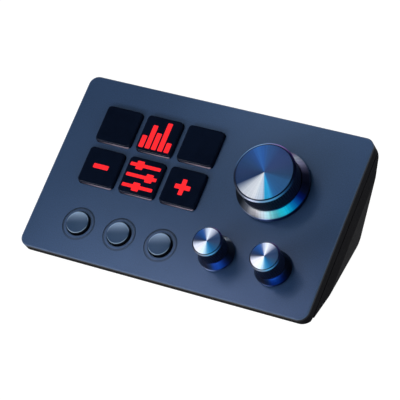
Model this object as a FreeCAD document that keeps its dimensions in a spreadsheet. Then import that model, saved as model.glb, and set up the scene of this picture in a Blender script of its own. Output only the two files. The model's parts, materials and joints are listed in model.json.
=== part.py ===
import FreeCAD, Part
import math
import operator
import os
import Sketcher

# A wedge-shaped desk keypad: a tilted metal faceplate with six display keys, three round buttons
# and three push-and-turn knobs, over a two-part plastic case.
# Everything is drawn in the plate's frame: x to the right, y up the plate, z out of the plate,
# with its origin in the middle of the plate's top face. place() then tilts it onto the desk.

SIZES = {
    # Faceplate: its width and length follow from what it carries and from these margins and gaps
    "key_left_margin": 14.25,
    "key_rear_margin": 12.125,
    "key_knob_gap": 13.35,
    "key_button_gap": 10.225,
    "knob_right_margin": 17.7,
    "button_front_margin": 7.6,
    "plate_thick": 1.6,
    "plate_corner": 4.0,
    "plate_chamfer": 0.4,
    # How the plate stands, in degrees, and how deep the case is along its front edge
    "tilt": 28.0,
    "front_depth": 4.6,
    "rear_slope": 34.6,
    # Case walls and the groove where its two shells meet
    "wall": 2.2,
    "floor_wall": 2.0,
    "front_wall": 7.0,
    "groove_depth": 6.4,
    "groove_width": 0.5,
    "groove_inset": 0.7,
    "crease_depth": 13.5,
    "side_draft": 10.0,
    "apex_round": 5.0,
    "floor_edge": 0.6,
    # Case screws, from below
    "case_screw_side_inset": 5.2,
    "case_screw_front_inset": 14.5,
    "case_screw_rear_inset": 9.5,
    "case_boss_radius": 3.2,
    "case_screw_radius": 1.25,
    "case_screw_hole": 1.3,
    "case_head_radius": 2.5,
    "case_head_tall": 1.5,
    "case_head_depth": 8.6,
    "case_head_gap": 0.2,
    "case_screw_reach": 3.8,
    # Feet
    "foot_proud": 1.2,
    "foot_sunk": 0.6,
    "foot_side_margin": 7.0,
    "foot_round": 1.5,
    "front_foot_long": 6.0,
    "rear_foot_long": 10.0,
    "foot_margin": 4.0,
    "rear_foot_margin": 6.5,
    # Display keys
    "key_pitch": 19.05,
    "key_width": 16.2,
    "key_length": 16.0,
    "key_corner": 1.6,
    "key_bevel": 0.5,
    "key_proud": 1.8,
    "key_gap": 0.3,
    "key_rest_gap": 0.2,
    "key_travel": 1.0,
    "key_flange": 0.5,
    "key_flange_thick": 1.0,
    "guide_rim": 0.6,
    "pad_thick": 0.6,
    "pad_lip": 1.2,
    "display_thick": 1.6,
    "display_inset": 0.7,
    # Round buttons
    "button_radius": 4.8,
    "button_proud": 1.9,
    "button_dome_rise": 0.34,
    "button_edge_round": 0.45,
    "button_travel": 0.7,
    "button_flange": 0.8,
    "button_flange_thick": 0.6,
    "button_rest_gap": 0.3,
    "button_stem_radius": 1.7,
    "button_plunger_radius": 1.5,
    "button_plunger_long": 1.0,
    "collar_inner": 5.2,
    "collar_outer": 7.0,
    "collar_lip": 0.5,
    "collar_lip_thick": 0.6,
    "collar_edge": 0.2,
    "collar_fit": 0.05,
    "switch_side": 6.0,
    "switch_hole": 1.8,
    "switch_floor": 0.4,
    # Main circuit board
    "board_thick": 1.2,
    "board_side_gap": 7.0,
    "board_front_inset": 10.3,
    "board_rear_inset": 9.0,
    "board_corner": 2.0,
    "board_screw_left_inset": 5.8,
    "board_screw_port_gap": 4.0,
    "board_screw_right_inset": 4.8,
    "board_screw_front_inset": 15.9,
    "board_screw_rear_inset": 3.5,
    "board_screw_radius": 0.95,
    "board_screw_long": 5.0,
    "board_head_radius": 1.5,
    "board_head_tall": 1.0,
    "board_post_radius": 2.5,
    "screw_fit": 0.05,
    # Ribbon from the display round the board's edge
    "ribbon_width": 14.0,
    "ribbon_thick": 0.3,
    "ribbon_tail": 5.0,
    "ribbon_socket_long": 4.0,
    "ribbon_socket_tall": 1.0,
    # USB-C socket, its small board and the recess for the plug
    "socket_width": 8.94,
    "socket_tall": 3.26,
    "socket_long": 7.35,
    "socket_shell": 0.3,
    "socket_round": 1.2,
    "tongue_width": 6.7,
    "tongue_thick": 0.7,
    "tongue_inset": 0.6,
    "socket_back": 1.2,
    "socket_gap": 0.15,
    "recess_width": 13.4,
    "recess_tall": 7.2,
    "recess_wall": 1.4,
    "recess_round": 1.4,
    "recess_inset": 12.5,
    "port_board_width": 21.0,
    "port_board_long": 15.0,
    "port_post_x": 8.0,
    "port_post_radius": 2.0,
    "port_post_inset": 3.5,
    "link_width": 9.0,
    "link_long": 3.0,
    "link_tall": 2.3,
    # Push-and-turn encoders
    "encoder_side": 12.0,
    "encoder_corner": 0.8,
    "bush_radius": 3.5,
    "bush_top": 2.6,
    "bush_hole": 3.7,
    "shaft_radius": 3.0,
    "shaft_gap": 0.05,
    "shaft_top": 10.6,
    "shaft_flat": 1.5,
    "encoder_floor": 0.5,
    "plunger_radius": 2.9,
    "plunger_thick": 0.7,
    "plunger_gap": 0.1,
    "washer_radius": 5.0,
    "washer_thick": 0.4,
    "nut_flats": 9.0,
    "nut_tall": 1.8,
    "knob_travel": 0.5,
    "knob_hollow": 5.7,
    # Large knob
    "main_knob_shift": 0.45,
    "main_skirt_radius": 15.2,
    "main_skirt_foot": 2.6,
    "main_skirt_top": 5.2,
    "main_skirt_neck": 12.8,
    "main_grip_radius": 12.5,
    "main_grip_top": 13.0,
    "main_grip_inner": 11.0,
    "main_knurl_depth": 0.25,
    "main_knurl_count": 72,
    "main_disc_radius": 12.7,
    "main_disc_face": 11.7,
    "main_disc_edge": 0.35,
    "main_disc_top": 14.0,
    "main_insert_top": 11.9,
    "disc_groove_width": 0.25,
    "disc_groove_depth": 0.25,
    "disc_rim_drop": 0.1,
    "insert_wall": 1.2,
    "insert_web": 1.6,
    "hub_radius": 4.6,
    # Small knobs
    "small_knob_shift": 2.5,
    "small_knob_left_reach": 12.0,
    "small_knob_right_reach": 12.95,
    "small_skirt_radius": 7.6,
    "small_skirt_foot": 1.5,
    "small_skirt_neck": 6.2,
    "small_skirt_top": 5.0,
    "small_grip_radius": 6.0,
    "small_grip_top": 12.3,
    "small_knurl_depth": 0.28,
    "small_knurl_count": 40,
    "small_disc_radius": 6.15,
    "small_disc_face": 5.55,
    "small_disc_edge": 0.3,
    "small_disc_top": 13.2,
    "small_disc_plug": 0.7,
    # Room left at the end of every press, and how far a cutting shape runs past what it cuts
    "free_gap": 0.3,
    "overrun": 1.0,
}

V = FreeCAD.Vector
SIGNS = {"+": operator.add, "-": operator.sub, "*": operator.mul, "/": operator.truediv}
FULL_TURN = 360
COLUMNS = (-1, 0, 1)
ROWS = (1, -1)
# How near two places have to be to count as the same, and small shares of what carries them
SAME_PLACE = 1e-4
INSERT_KEY_SHARE = 0.6
TONGUE_ROUND_SHARE = 0.25


class Size:
    """A length or angle that knows both its value and its expression in the sheet."""

    def __init__(self, text, value):
        self.text = text
        self.value = value

    def combine(self, sign, other):
        if not isinstance(other, Size):
            other = Size(str(other), other)
        value = SIGNS[sign](self.value, other.value)
        return Size(f"({self.text} {sign} {other.text})", value)

    def __add__(self, other):
        return self.combine("+", other)

    def __sub__(self, other):
        return self.combine("-", other)

    def __mul__(self, other):
        return self.combine("*", other)

    def __truediv__(self, other):
        return self.combine("/", other)

    def __neg__(self):
        return self.combine("*", -1)


class Cells:
    """The sheet's cells by name."""

    def __getattr__(self, name):
        return Size(f"Sizes.{name}", SIZES[name])


ZERO = Size("0", 0.0)
HALF_FLAT_ANGLE = Size(str(FULL_TURN / 12), FULL_TURN / 12)
S = Cells()


def of_angle(function, angle):
    return Size(f"{function}({angle.text})", getattr(math, function)(math.radians(angle.value)))


def sine(angle):
    return of_angle("sin", angle)


def cosine(angle):
    return of_angle("cos", angle)


def tangent(angle):
    return of_angle("tan", angle)


# The document and its sheet of driving dimensions

doc = FreeCAD.newDocument("macro_keypad")


def fill_sheet():
    sheet = doc.addObject("Spreadsheet::Sheet", "Sizes")
    for row, (name, value) in enumerate(SIZES.items(), start=1):
        sheet.set(f"A{row}", name.replace("_", " "))
        sheet.set(f"B{row}", str(value))
        sheet.setAlias(f"B{row}", name)
    doc.recompute()


fill_sheet()


# Places and derived sizes that several pieces share

PLATE_WIDTH = (S.key_left_margin + S.key_pitch * 2 + S.key_width + S.key_knob_gap
               + S.main_skirt_radius * 2 + S.knob_right_margin)
PLATE_LENGTH = (S.key_rear_margin + S.key_pitch + S.key_length + S.key_button_gap
                + S.collar_outer * 2 + S.button_front_margin)
HALF_WIDTH = PLATE_WIDTH / 2
HALF_LENGTH = PLATE_LENGTH / 2
KEYS_X = S.key_left_margin + S.key_width / 2 + S.key_pitch - HALF_WIDTH
KEYS_Y = HALF_LENGTH - S.key_rear_margin - (S.key_pitch + S.key_length) / 2
BUTTONS_Y = S.button_front_margin + S.collar_outer - HALF_LENGTH
MAIN_KNOB_X = HALF_WIDTH - S.knob_right_margin - S.main_skirt_radius
SMALL_KNOBS_Y = BUTTONS_Y + S.small_knob_shift
PLATE_UNDER = -S.plate_thick
GROOVE_Z = -S.groove_depth
PLATE_Y = -(S.plate_chamfer + S.groove_depth) * sine(S.tilt) / 2
PLATE_Z = S.foot_proud + HALF_LENGTH * sine(S.tilt) + S.front_depth * cosine(S.tilt)

KEY_UNDER = PLATE_UNDER - S.key_rest_gap - S.key_flange_thick
PAD_TOP = KEY_UNDER - S.key_travel - S.key_gap
DISPLAY_TOP = PAD_TOP - S.pad_thick
BOARD_TOP = DISPLAY_TOP - S.display_thick
BOARD_UNDER = BOARD_TOP - S.board_thick
KEY_PLACES = [(KEYS_X + S.key_pitch * column, KEYS_Y + S.key_pitch * row / 2)
              for row in ROWS for column in COLUMNS]
BUTTON_PLACES = [(KEYS_X + S.key_pitch * column, BUTTONS_Y) for column in COLUMNS]
KNOB_PLACES = {"main": (MAIN_KNOB_X, KEYS_Y + S.main_knob_shift),
               "left": (MAIN_KNOB_X - S.small_knob_left_reach, SMALL_KNOBS_Y),
               "right": (MAIN_KNOB_X + S.small_knob_right_reach, SMALL_KNOBS_Y)}

FLANGE_WIDTH = S.key_width + S.key_flange * 2
FLANGE_LENGTH = S.key_length + S.key_flange * 2
GUIDE_WIDTH = S.key_pitch * 2 + FLANGE_WIDTH + S.key_gap * 2 + S.guide_rim * 2
GUIDE_LENGTH = S.key_pitch + FLANGE_LENGTH + S.key_gap * 2 + S.guide_rim * 2

COLLAR_UNDER = PLATE_UNDER - S.collar_lip_thick
BUTTON_FLANGE_TOP = COLLAR_UNDER - S.button_rest_gap
BUTTON_FLANGE_UNDER = BUTTON_FLANGE_TOP - S.button_flange_thick
SWITCH_TOP = BUTTON_FLANGE_UNDER - S.button_travel - S.free_gap
PLUNGER_END = BOARD_TOP + S.switch_floor + S.free_gap + S.button_travel
STEM_END = PLUNGER_END + S.button_plunger_long

KNOB_LIFT = S.knob_travel + S.free_gap
HUB_BOTTOM = S.bush_top + S.knob_travel + S.free_gap
PUSHER_BOTTOM = BOARD_TOP + S.encoder_floor + S.free_gap + S.knob_travel
SHAFT_FOOT = PUSHER_BOTTOM + S.plunger_thick + S.plunger_gap

PORT_BOARD_TOP = BOARD_UNDER - S.link_tall
SOCKET_TOP = PORT_BOARD_TOP - S.board_thick
SOCKET_MIDDLE = SOCKET_TOP - S.socket_tall / 2
RECESS_TOP = SOCKET_MIDDLE + S.recess_tall / 2
RECESS_FLOOR_Y = HALF_LENGTH - S.recess_inset
PORT_BOARD_REAR = RECESS_FLOOR_Y - S.recess_wall - S.socket_gap * 2

CASE_SCREWS = [((HALF_WIDTH - S.case_screw_side_inset) * side, y) for side in (-1, 1)
               for y in (S.case_screw_front_inset - HALF_LENGTH,
                         HALF_LENGTH - S.case_screw_rear_inset)]
BOARD_WIDTH = PLATE_WIDTH - (S.wall + S.board_side_gap) * 2
BOARD_FRONT_Y = S.board_front_inset - HALF_LENGTH
BOARD_REAR_Y = HALF_LENGTH - S.board_rear_inset
BOARD_RIGHT_X = BOARD_WIDTH / 2 - S.board_screw_right_inset
BOARD_SCREWS = [(S.board_screw_left_inset - BOARD_WIDTH / 2, BOARD_FRONT_Y + S.board_screw_front_inset),
                (BOARD_RIGHT_X, BOARD_FRONT_Y + S.board_screw_front_inset),
                (S.port_board_width / 2 + S.board_screw_port_gap, BOARD_REAR_Y - S.board_screw_rear_inset),
                (BOARD_RIGHT_X, BOARD_REAR_Y - S.board_screw_rear_inset)]
PORT_POSTS = [(S.port_post_x * side, PORT_BOARD_REAR - S.port_board_long + S.port_post_inset)
              for side in (-1, 1)]


# Small helpers for bodies, sketches and features

pieces = {}


def keep(node, shape_object):
    """Note a finished sub-part under the name of its file."""
    shape_object.Label = node
    pieces[node] = shape_object
    return shape_object


def bind(target, name, size):
    target.setExpression(name, size.text)


def place(target, x=ZERO, y=ZERO, z=ZERO):
    """Tilt a piece that was drawn in the plate's frame, and move it onto the desk."""
    target.Placement = FreeCAD.Placement(V(0, 0, 0), FreeCAD.Rotation(V(1, 0, 0), S.tilt.value))
    bind(target, "Placement.Rotation.Angle", S.tilt)
    bind(target, "Placement.Base.x", x)
    bind(target, "Placement.Base.y", PLATE_Y + y * cosine(S.tilt) - z * sine(S.tilt))
    bind(target, "Placement.Base.z", PLATE_Z + y * sine(S.tilt) + z * cosine(S.tilt))
    return target


def origin_part(body, role):
    return next(part for part in body.Origin.OriginFeatures if part.Role == role)


def new_sketch(body, name, role="XY_Plane", lift=ZERO):
    sketch = body.newObject("Sketcher::SketchObject", name)
    sketch.AttachmentSupport = (origin_part(body, role), [""])
    sketch.MapMode = "FlatFace"
    if lift is not ZERO:
        bind(sketch, "AttachmentOffset.Base.z", lift)
    return sketch


def dimension(sketch, kind, size, *where):
    """Add one driving dimension to a sketch and bind it to the sheet."""
    number = sketch.addConstraint(Sketcher.Constraint(kind, *where, size.value))
    bind(sketch, f"Constraints[{number}]", size)


def pin_point(sketch, geometry, end, x, y):
    for kind, size, axis in (("DistanceX", x, -2), ("DistanceY", y, -1)):
        if size is ZERO:
            sketch.addConstraint(Sketcher.Constraint("PointOnObject", geometry, end, axis))
        else:
            dimension(sketch, kind, size, -1, 1, geometry, end)


def polygon(sketch, corners):
    first = sketch.GeometryCount
    count = len(corners)
    points = [V(x.value, y.value, 0) for x, y in corners]
    for index in range(count):
        line = Part.LineSegment(points[index], points[(index + 1) % count])
        sketch.addGeometry(line, False)
    for index in range(count):
        following = first + (index + 1) % count
        sketch.addConstraint(Sketcher.Constraint("Coincident", first + index, 2, following, 1))
    for index, (x, y) in enumerate(corners):
        pin_point(sketch, first + index, 1, x, y)


def crowned_profile(sketch, corners):
    """A closed profile whose last side is a shallow dome that ends level on the axis."""
    (edge_radius, edge_z), (_, top) = corners[-2:]
    rise = top - edge_z
    ball = (edge_radius * edge_radius + rise * rise) / (rise * 2)
    points = [V(x.value, y.value, 0) for x, y in corners]
    for start, end in zip(points, points[1:-1]):
        sketch.addGeometry(Part.LineSegment(start, end), False)
    whole = Part.Circle(V(0, (top - ball).value, 0), V(0, 0, 1), ball.value)
    start_angle = math.asin((edge_z - top + ball).value / ball.value)
    dome = sketch.addGeometry(Part.ArcOfCircle(whole, start_angle, math.pi / 2), False)
    axis = sketch.addGeometry(Part.LineSegment(points[-1], points[0]), False)
    for index in range(dome):
        pin_point(sketch, index, 1, *corners[index])
        sketch.addConstraint(Sketcher.Constraint("Coincident", index, 2, index + 1, 1))
    sketch.addConstraint(Sketcher.Constraint("Coincident", dome, 2, axis, 1))
    sketch.addConstraint(Sketcher.Constraint("Coincident", axis, 2, 0, 1))
    pin_point(sketch, dome, 1, edge_radius, edge_z)
    pin_point(sketch, dome, 2, ZERO, top)
    sketch.addConstraint(Sketcher.Constraint("PointOnObject", dome, 3, -2))


def circle(sketch, x, y, radius):
    number = sketch.addGeometry(Part.Circle(V(x.value, y.value, 0), V(0, 0, 1), radius.value), False)
    dimension(sketch, "Radius", radius, number)
    pin_point(sketch, number, 3, x, y)


def rounded_rectangle(sketch, x, y, width, length, radius):
    """Four lines and four corner arcs round a centre."""
    first = sketch.GeometryCount
    right, left = x + width / 2, x - width / 2
    rear, front = y + length / 2, y - length / 2
    sides = [((left + radius, front), (right - radius, front)),
             ((right, front + radius), (right, rear - radius)),
             ((right - radius, rear), (left + radius, rear)),
             ((left, rear - radius), (left, front + radius))]
    centres = [(right - radius, front + radius), (right - radius, rear - radius),
               (left + radius, rear - radius), (left + radius, front + radius)]
    for start, end in sides:
        line = Part.LineSegment(V(start[0].value, start[1].value, 0), V(end[0].value, end[1].value, 0))
        sketch.addGeometry(line, False)
    for index, (middle_x, middle_y) in enumerate(centres):
        whole = Part.Circle(V(middle_x.value, middle_y.value, 0), V(0, 0, 1), radius.value)
        begin = math.pi / 2 * (index - 1)
        sketch.addGeometry(Part.ArcOfCircle(whole, begin, begin + math.pi / 2), False)
    for index, (start, end) in enumerate(sides):
        arc = first + 4 + index
        sketch.addConstraint(Sketcher.Constraint("Coincident", first + index, 2, arc, 1))
        sketch.addConstraint(Sketcher.Constraint("Coincident", arc, 2, first + (index + 1) % 4, 1))
        pin_point(sketch, first + index, 1, *start)
        pin_point(sketch, first + index, 2, *end)
        dimension(sketch, "Radius", radius, arc)


def new_body(name):
    return doc.addObject("PartDesign::Body", name)


def extrude(body, kind, sketch, length, reverse=False, both_ways=False, taper=None):
    feature = body.newObject(f"PartDesign::{kind}", f"{sketch.Name}_{kind.lower()}")
    feature.Profile = sketch
    bind(feature, "Length", length)
    feature.Reversed = reverse
    if both_ways:
        feature.SideType = "Symmetric"
    if taper is not None:
        bind(feature, "TaperAngle", taper)
    return feature


def revolve(body, name, corners, kind="Revolution", crown=False):
    """Turn a profile, given as radius and height, about the body's own z axis."""
    sketch = new_sketch(body, f"{name}_profile", "XZ_Plane")
    if crown:
        crowned_profile(sketch, corners)
    else:
        polygon(sketch, corners)
    feature = body.newObject(f"PartDesign::{kind}", f"{name}_{kind.lower()}")
    feature.Profile = sketch
    feature.ReferenceAxis = (sketch, ["V_Axis"])
    feature.Angle = FULL_TURN
    return feature


def edges_where(shape, test):
    return [f"Edge{number}" for number, edge in enumerate(shape.Edges, start=1) if test(edge)]


def dress(body, kind, feature, size, test):
    """Fillet or chamfer the edges of a feature that a test picks out."""
    doc.recompute()
    names = edges_where(feature.Shape, test)
    if not names:
        raise RuntimeError(f"no edge found to dress on {body.Name}")
    done = body.newObject(f"PartDesign::{kind}", f"{feature.Name}_{kind.lower()}")
    done.Base = (feature, names)
    bind(done, "Radius" if kind == "Fillet" else "Size", size)
    return done


def at_height(size):
    """Test for edges that lie in the plane z = size."""
    def test(edge):
        box = edge.BoundBox
        return all(math.isclose(z, size.value, abs_tol=SAME_PLACE) for z in (box.ZMin, box.ZMax))
    return test


def cylinder(name, radius, bottom, top, x=ZERO, y=ZERO):
    shape = doc.addObject("Part::Cylinder", name)
    bind(shape, "Radius", radius)
    bind(shape, "Height", top - bottom)
    bind(shape, "Placement.Base.x", x)
    bind(shape, "Placement.Base.y", y)
    bind(shape, "Placement.Base.z", bottom)
    return shape


def block(name, x_range, y_range, z_range):
    """A box between two x, two y and two z sizes."""
    shape = doc.addObject("Part::Box", name)
    for side, letter, (low, high) in zip(("Length", "Width", "Height"), "xyz",
                                         (x_range, y_range, z_range)):
        bind(shape, side, high - low)
        bind(shape, f"Placement.Base.{letter}", low)
    return shape


def fuse(name, shapes):
    joined = doc.addObject("Part::MultiFuse", name)
    joined.Shapes = shapes
    return joined


def cut(name, base, tool):
    result = doc.addObject("Part::Cut", name)
    result.Base = base
    result.Tool = tool
    return result


def group(name, shapes):
    together = doc.addObject("Part::Compound", name)
    together.Links = shapes
    return together


# Faceplate

def faceplate():
    body = new_body("faceplate")
    outline = new_sketch(body, "plate_outline")
    rounded_rectangle(outline, ZERO, ZERO, PLATE_WIDTH, PLATE_LENGTH, S.plate_corner)
    slab = extrude(body, "Pad", outline, S.plate_thick, reverse=True)
    edged = dress(body, "Chamfer", slab, S.plate_chamfer, at_height(ZERO))
    windows = new_sketch(body, "plate_windows")
    for x, y in KEY_PLACES:
        rounded_rectangle(windows, x, y, S.key_width + S.key_gap * 2, S.key_length + S.key_gap * 2,
                          S.key_corner + S.key_gap)
    for x, y in BUTTON_PLACES:
        circle(windows, x, y, S.collar_outer + S.collar_fit)
    for x, y in KNOB_PLACES.values():
        circle(windows, x, y, S.bush_hole)
    extrude(body, "Pocket", windows, S.plate_thick + S.overrun)
    doc.recompute()
    if body.Shape.Volume >= edged.Shape.Volume:
        raise RuntimeError("the plate's windows cut nothing")
    return place(keep("faceplate", body))


# Case: an upper frame and a wedge-shaped lower shell

def apex(lift_front=ZERO, lift_rear=ZERO):
    """Where the base plane meets the sloping rear wall, with either of them lifted by a wall."""
    base_slope, rear_slope = tangent(S.tilt), tangent(S.rear_slope)
    front, rear = S.front_depth - lift_front, S.groove_depth - lift_rear
    y = (rear - front + HALF_LENGTH * (rear_slope - base_slope)) / (base_slope + rear_slope)
    return y, -front - (y + HALF_LENGTH) * base_slope


def wedge_cut(body, name, lift_front=ZERO, lift_rear=ZERO):
    """Take away what lies under the base plane and behind the sloping rear wall."""
    outer_y = HALF_LENGTH + S.overrun
    front_z = S.overrun * tangent(S.tilt) - S.front_depth + lift_front
    rear_z = S.overrun * tangent(S.rear_slope) - S.groove_depth + lift_rear
    sketch = new_sketch(body, name, "YZ_Plane")
    polygon(sketch, [(-outer_y, front_z), apex(lift_front, lift_rear), (outer_y, rear_z),
                     (outer_y, -HALF_LENGTH), (-outer_y, -HALF_LENGTH)])
    return extrude(body, "Pocket", sketch, PLATE_WIDTH + S.overrun * 2, both_ways=True)


def round_apex(body, pocket, place_of_apex, radius):
    """Round the long edge where the base meets the rear wall."""
    y, z = place_of_apex

    def test(edge):
        middle = edge.BoundBox.Center
        near_y = math.isclose(middle.y, y.value, abs_tol=SAME_PLACE)
        return near_y and math.isclose(middle.z, z.value, abs_tol=SAME_PLACE)
    return dress(body, "Fillet", pocket, radius, test)


def upper_housing():
    outer = new_body("upper_outer")
    outline = new_sketch(outer, "upper_outline", lift=PLATE_UNDER)
    rounded_rectangle(outline, ZERO, ZERO, PLATE_WIDTH, PLATE_LENGTH, S.plate_corner)
    step = S.groove_depth - S.groove_width
    extrude(outer, "Pad", outline, step - S.plate_thick, reverse=True)
    neck = new_sketch(outer, "upper_neck", lift=-step)
    rounded_rectangle(neck, ZERO, ZERO, PLATE_WIDTH - S.groove_inset * 2,
                      PLATE_LENGTH - S.groove_inset * 2, S.plate_corner - S.groove_inset)
    extrude(outer, "Pad", neck, S.groove_width, reverse=True)
    wedge_cut(outer, "upper_wedge")
    inner = new_body("upper_inner")
    room = new_sketch(inner, "upper_room", lift=PLATE_UNDER + S.overrun)
    room_length = PLATE_LENGTH - S.wall - S.front_wall
    rounded_rectangle(room, ZERO, (S.front_wall - S.wall) / 2, PLATE_WIDTH - S.wall * 2,
                      room_length, S.plate_corner - S.wall)
    extrude(inner, "Pad", room, S.groove_depth + S.overrun, reverse=True)
    bosses = [cylinder(f"upper_boss_{index}", S.case_boss_radius, GROOVE_Z - S.overrun,
                       PLATE_UNDER + S.overrun, x, y) for index, (x, y) in enumerate(CASE_SCREWS)]
    space = cut("upper_space", inner, fuse("upper_bosses", bosses))
    frame = cut("upper_frame", outer, space)
    holes = [cylinder(f"upper_screw_hole_{index}", S.case_screw_hole, GROOVE_Z - S.overrun,
                      PLATE_UNDER - S.overrun + S.screw_fit, x, y)
             for index, (x, y) in enumerate(CASE_SCREWS)]
    housing = cut("upper_housing", frame, fuse("upper_screw_holes", holes))
    return place(keep("upper_housing", housing))


def lower_body(name, inset, top, apex_radius, lift_front=ZERO, lift_rear=ZERO):
    """A straight band, a leaning band under it, and the wedge cut: used for outside and inside."""
    body = new_body(name)
    width, length = PLATE_WIDTH - inset * 2, PLATE_LENGTH - inset * 2
    corner = S.plate_corner - inset
    band = new_sketch(body, f"{name}_band", lift=top)
    rounded_rectangle(band, ZERO, ZERO, width, length, corner)
    extrude(body, "Pad", band, top + S.crease_depth, reverse=True)
    leaning = new_sketch(body, f"{name}_leaning", lift=-S.crease_depth)
    rounded_rectangle(leaning, ZERO, ZERO, width, length, corner)
    lowest = apex(lift_front, lift_rear)
    extrude(body, "Pad", leaning, S.overrun - S.crease_depth - lowest[1], reverse=True,
            taper=-S.side_draft)
    round_apex(body, wedge_cut(body, f"{name}_wedge", lift_front, lift_rear), lowest, apex_radius)
    return body


def port_cutters():
    """The plug's recess in the rear wall, and the slot that the socket's mouth stands in."""
    body = new_body("plug_recess")
    mouth = new_sketch(body, "recess_outline", "XZ_Plane", lift=-RECESS_FLOOR_Y)
    rounded_rectangle(mouth, ZERO, SOCKET_MIDDLE, S.recess_width, S.recess_tall, S.recess_round)
    extrude(body, "Pad", mouth, HALF_LENGTH - RECESS_FLOOR_Y + S.overrun, reverse=True)
    slot = new_body("socket_slot")
    slot_outline = new_sketch(slot, "slot_outline", "XZ_Plane",
                              lift=-RECESS_FLOOR_Y - S.overrun)
    rounded_rectangle(slot_outline, ZERO, SOCKET_MIDDLE, S.socket_width + S.socket_gap * 2,
                      S.socket_tall + S.socket_gap * 2, S.socket_round + S.socket_gap)
    extrude(slot, "Pad", slot_outline, S.socket_long + S.overrun * 2)
    return [body, slot]


def lower_housing():
    outer = lower_body("lower_outer", ZERO, GROOVE_Z, S.apex_round)
    front_lift = S.floor_wall / cosine(S.tilt)
    rear_lift = S.floor_wall / cosine(S.rear_slope)
    inner = lower_body("lower_inner", S.wall, GROOVE_Z + S.overrun, S.apex_round - S.floor_wall,
                       front_lift, rear_lift)
    deep = -HALF_LENGTH
    posts = [cylinder(f"case_post_{index}", S.case_boss_radius, deep, GROOVE_Z, x, y)
             for index, (x, y) in enumerate(CASE_SCREWS)]
    posts += [cylinder(f"board_post_{index}", S.board_post_radius, deep, BOARD_UNDER, x, y)
              for index, (x, y) in enumerate(BOARD_SCREWS)]
    posts += [cylinder(f"port_post_{index}", S.port_post_radius, deep, SOCKET_TOP, x, y)
              for index, (x, y) in enumerate(PORT_POSTS)]
    half_recess = S.recess_width / 2 + S.recess_wall
    posts.append(block("recess_walls", (-half_recess, half_recess),
                       (RECESS_FLOOR_Y - S.recess_wall, HALF_LENGTH),
                       (RECESS_TOP - S.recess_tall - S.recess_wall, RECESS_TOP + S.recess_wall)))
    space = cut("lower_space", inner, fuse("lower_posts", posts))
    cutters = port_cutters()
    cutters += [cylinder(f"case_hole_{index}", S.case_screw_hole, deep, GROOVE_Z + S.overrun, x, y)
                for index, (x, y) in enumerate(CASE_SCREWS)]
    cutters += [cylinder(f"head_hole_{index}", S.case_head_radius + S.case_head_gap, deep,
                         -S.case_head_depth, x, y) for index, (x, y) in enumerate(CASE_SCREWS)]
    cutters += [cylinder(f"board_hole_{index}", S.board_screw_radius + S.screw_fit,
                         BOARD_TOP - S.board_screw_long - S.overrun / 2, BOARD_TOP, x, y)
                for index, (x, y) in enumerate(BOARD_SCREWS)]
    blunt_y = (S.groove_depth - S.front_depth + S.floor_edge) / tangent(S.tilt) - HALF_LENGTH
    cutters.append(block("blunt_edge", (-PLATE_WIDTH, PLATE_WIDTH),
                         (-PLATE_LENGTH, blunt_y), (deep, ZERO)))
    cutters += [foot_recess("front"), foot_recess("rear")]
    shell = cut("lower_shell", outer, space)
    housing = cut("lower_housing", shell, fuse("lower_cutters", cutters))
    return place(keep("lower_housing", housing))


# Rubber feet, drawn square to the desk

def foot_range(which):
    """Where a foot starts and ends along the desk, measured on the base from its front edge."""
    base_long = (apex()[0] + HALF_LENGTH) / cosine(S.tilt)
    floor_start = (S.groove_depth - S.front_depth + S.floor_edge) / sine(S.tilt)
    if which == "front":
        start = floor_start + S.foot_margin
        return start, start + S.front_foot_long
    end = base_long - S.rear_foot_margin
    return end - S.rear_foot_long, end


def foot_solid(name, which, low, high):
    """A bar between two heights over the base plane, in the desk's frame."""
    start, end = foot_range(which)
    body = new_body(name)
    outline = new_sketch(body, f"{name}_outline", lift=low)
    rounded_rectangle(outline, ZERO, (start + end) / 2, PLATE_WIDTH - S.foot_side_margin * 2,
                      end - start, S.foot_round)
    extrude(body, "Pad", outline, high - low)
    return body


def on_base(target):
    """From the desk's frame, origin at the base's front edge, into the plate's frame."""
    target.Placement = FreeCAD.Placement(V(0, 0, 0), FreeCAD.Rotation(V(1, 0, 0), -S.tilt.value))
    bind(target, "Placement.Rotation.Angle", S.tilt)
    target.Placement.Rotation.Axis = V(-1, 0, 0)
    bind(target, "Placement.Base.y", -HALF_LENGTH)
    bind(target, "Placement.Base.z", -S.front_depth)
    return target


def foot_recess(which):
    return on_base(foot_solid(f"{which}_foot_recess", which, -S.foot_proud, S.foot_sunk))


def foot(which):
    body = foot_solid(f"{which}_foot", which, -S.foot_proud, S.foot_sunk)
    front_y = PLATE_Y - HALF_LENGTH * cosine(S.tilt) + S.front_depth * sine(S.tilt)
    bind(body, "Placement.Base.y", front_y)
    bind(body, "Placement.Base.z", S.foot_proud)
    return keep(f"{which}_foot", body)


# Screws

def screw(name, x, y, head_bottom, head_top, head_radius, shank_bottom, shank_top, shank_radius):
    head = cylinder(f"{name}_head", head_radius, head_bottom, head_top, x, y)
    shank = cylinder(f"{name}_shank", shank_radius, shank_bottom, shank_top, x, y)
    return fuse(name, [head, shank])


def screws():
    case = [screw(f"case_screw_{index}", x, y, -S.case_head_depth - S.case_head_tall,
                  -S.case_head_depth, S.case_head_radius, -S.case_head_depth - S.case_head_tall / 2,
                  GROOVE_Z + S.case_screw_reach - S.screw_fit, S.case_screw_radius)
            for index, (x, y) in enumerate(CASE_SCREWS)]
    place(keep("case_screws", group("case_screws", case)))
    board = [screw(f"board_screw_{index}", x, y, BOARD_TOP, BOARD_TOP + S.board_head_tall,
                   S.board_head_radius, BOARD_TOP - S.board_screw_long,
                   BOARD_TOP + S.board_head_tall / 2, S.board_screw_radius)
             for index, (x, y) in enumerate(BOARD_SCREWS)]
    place(keep("board_screws", group("board_screws", board)))


# Circuit boards, display and what joins them

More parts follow.
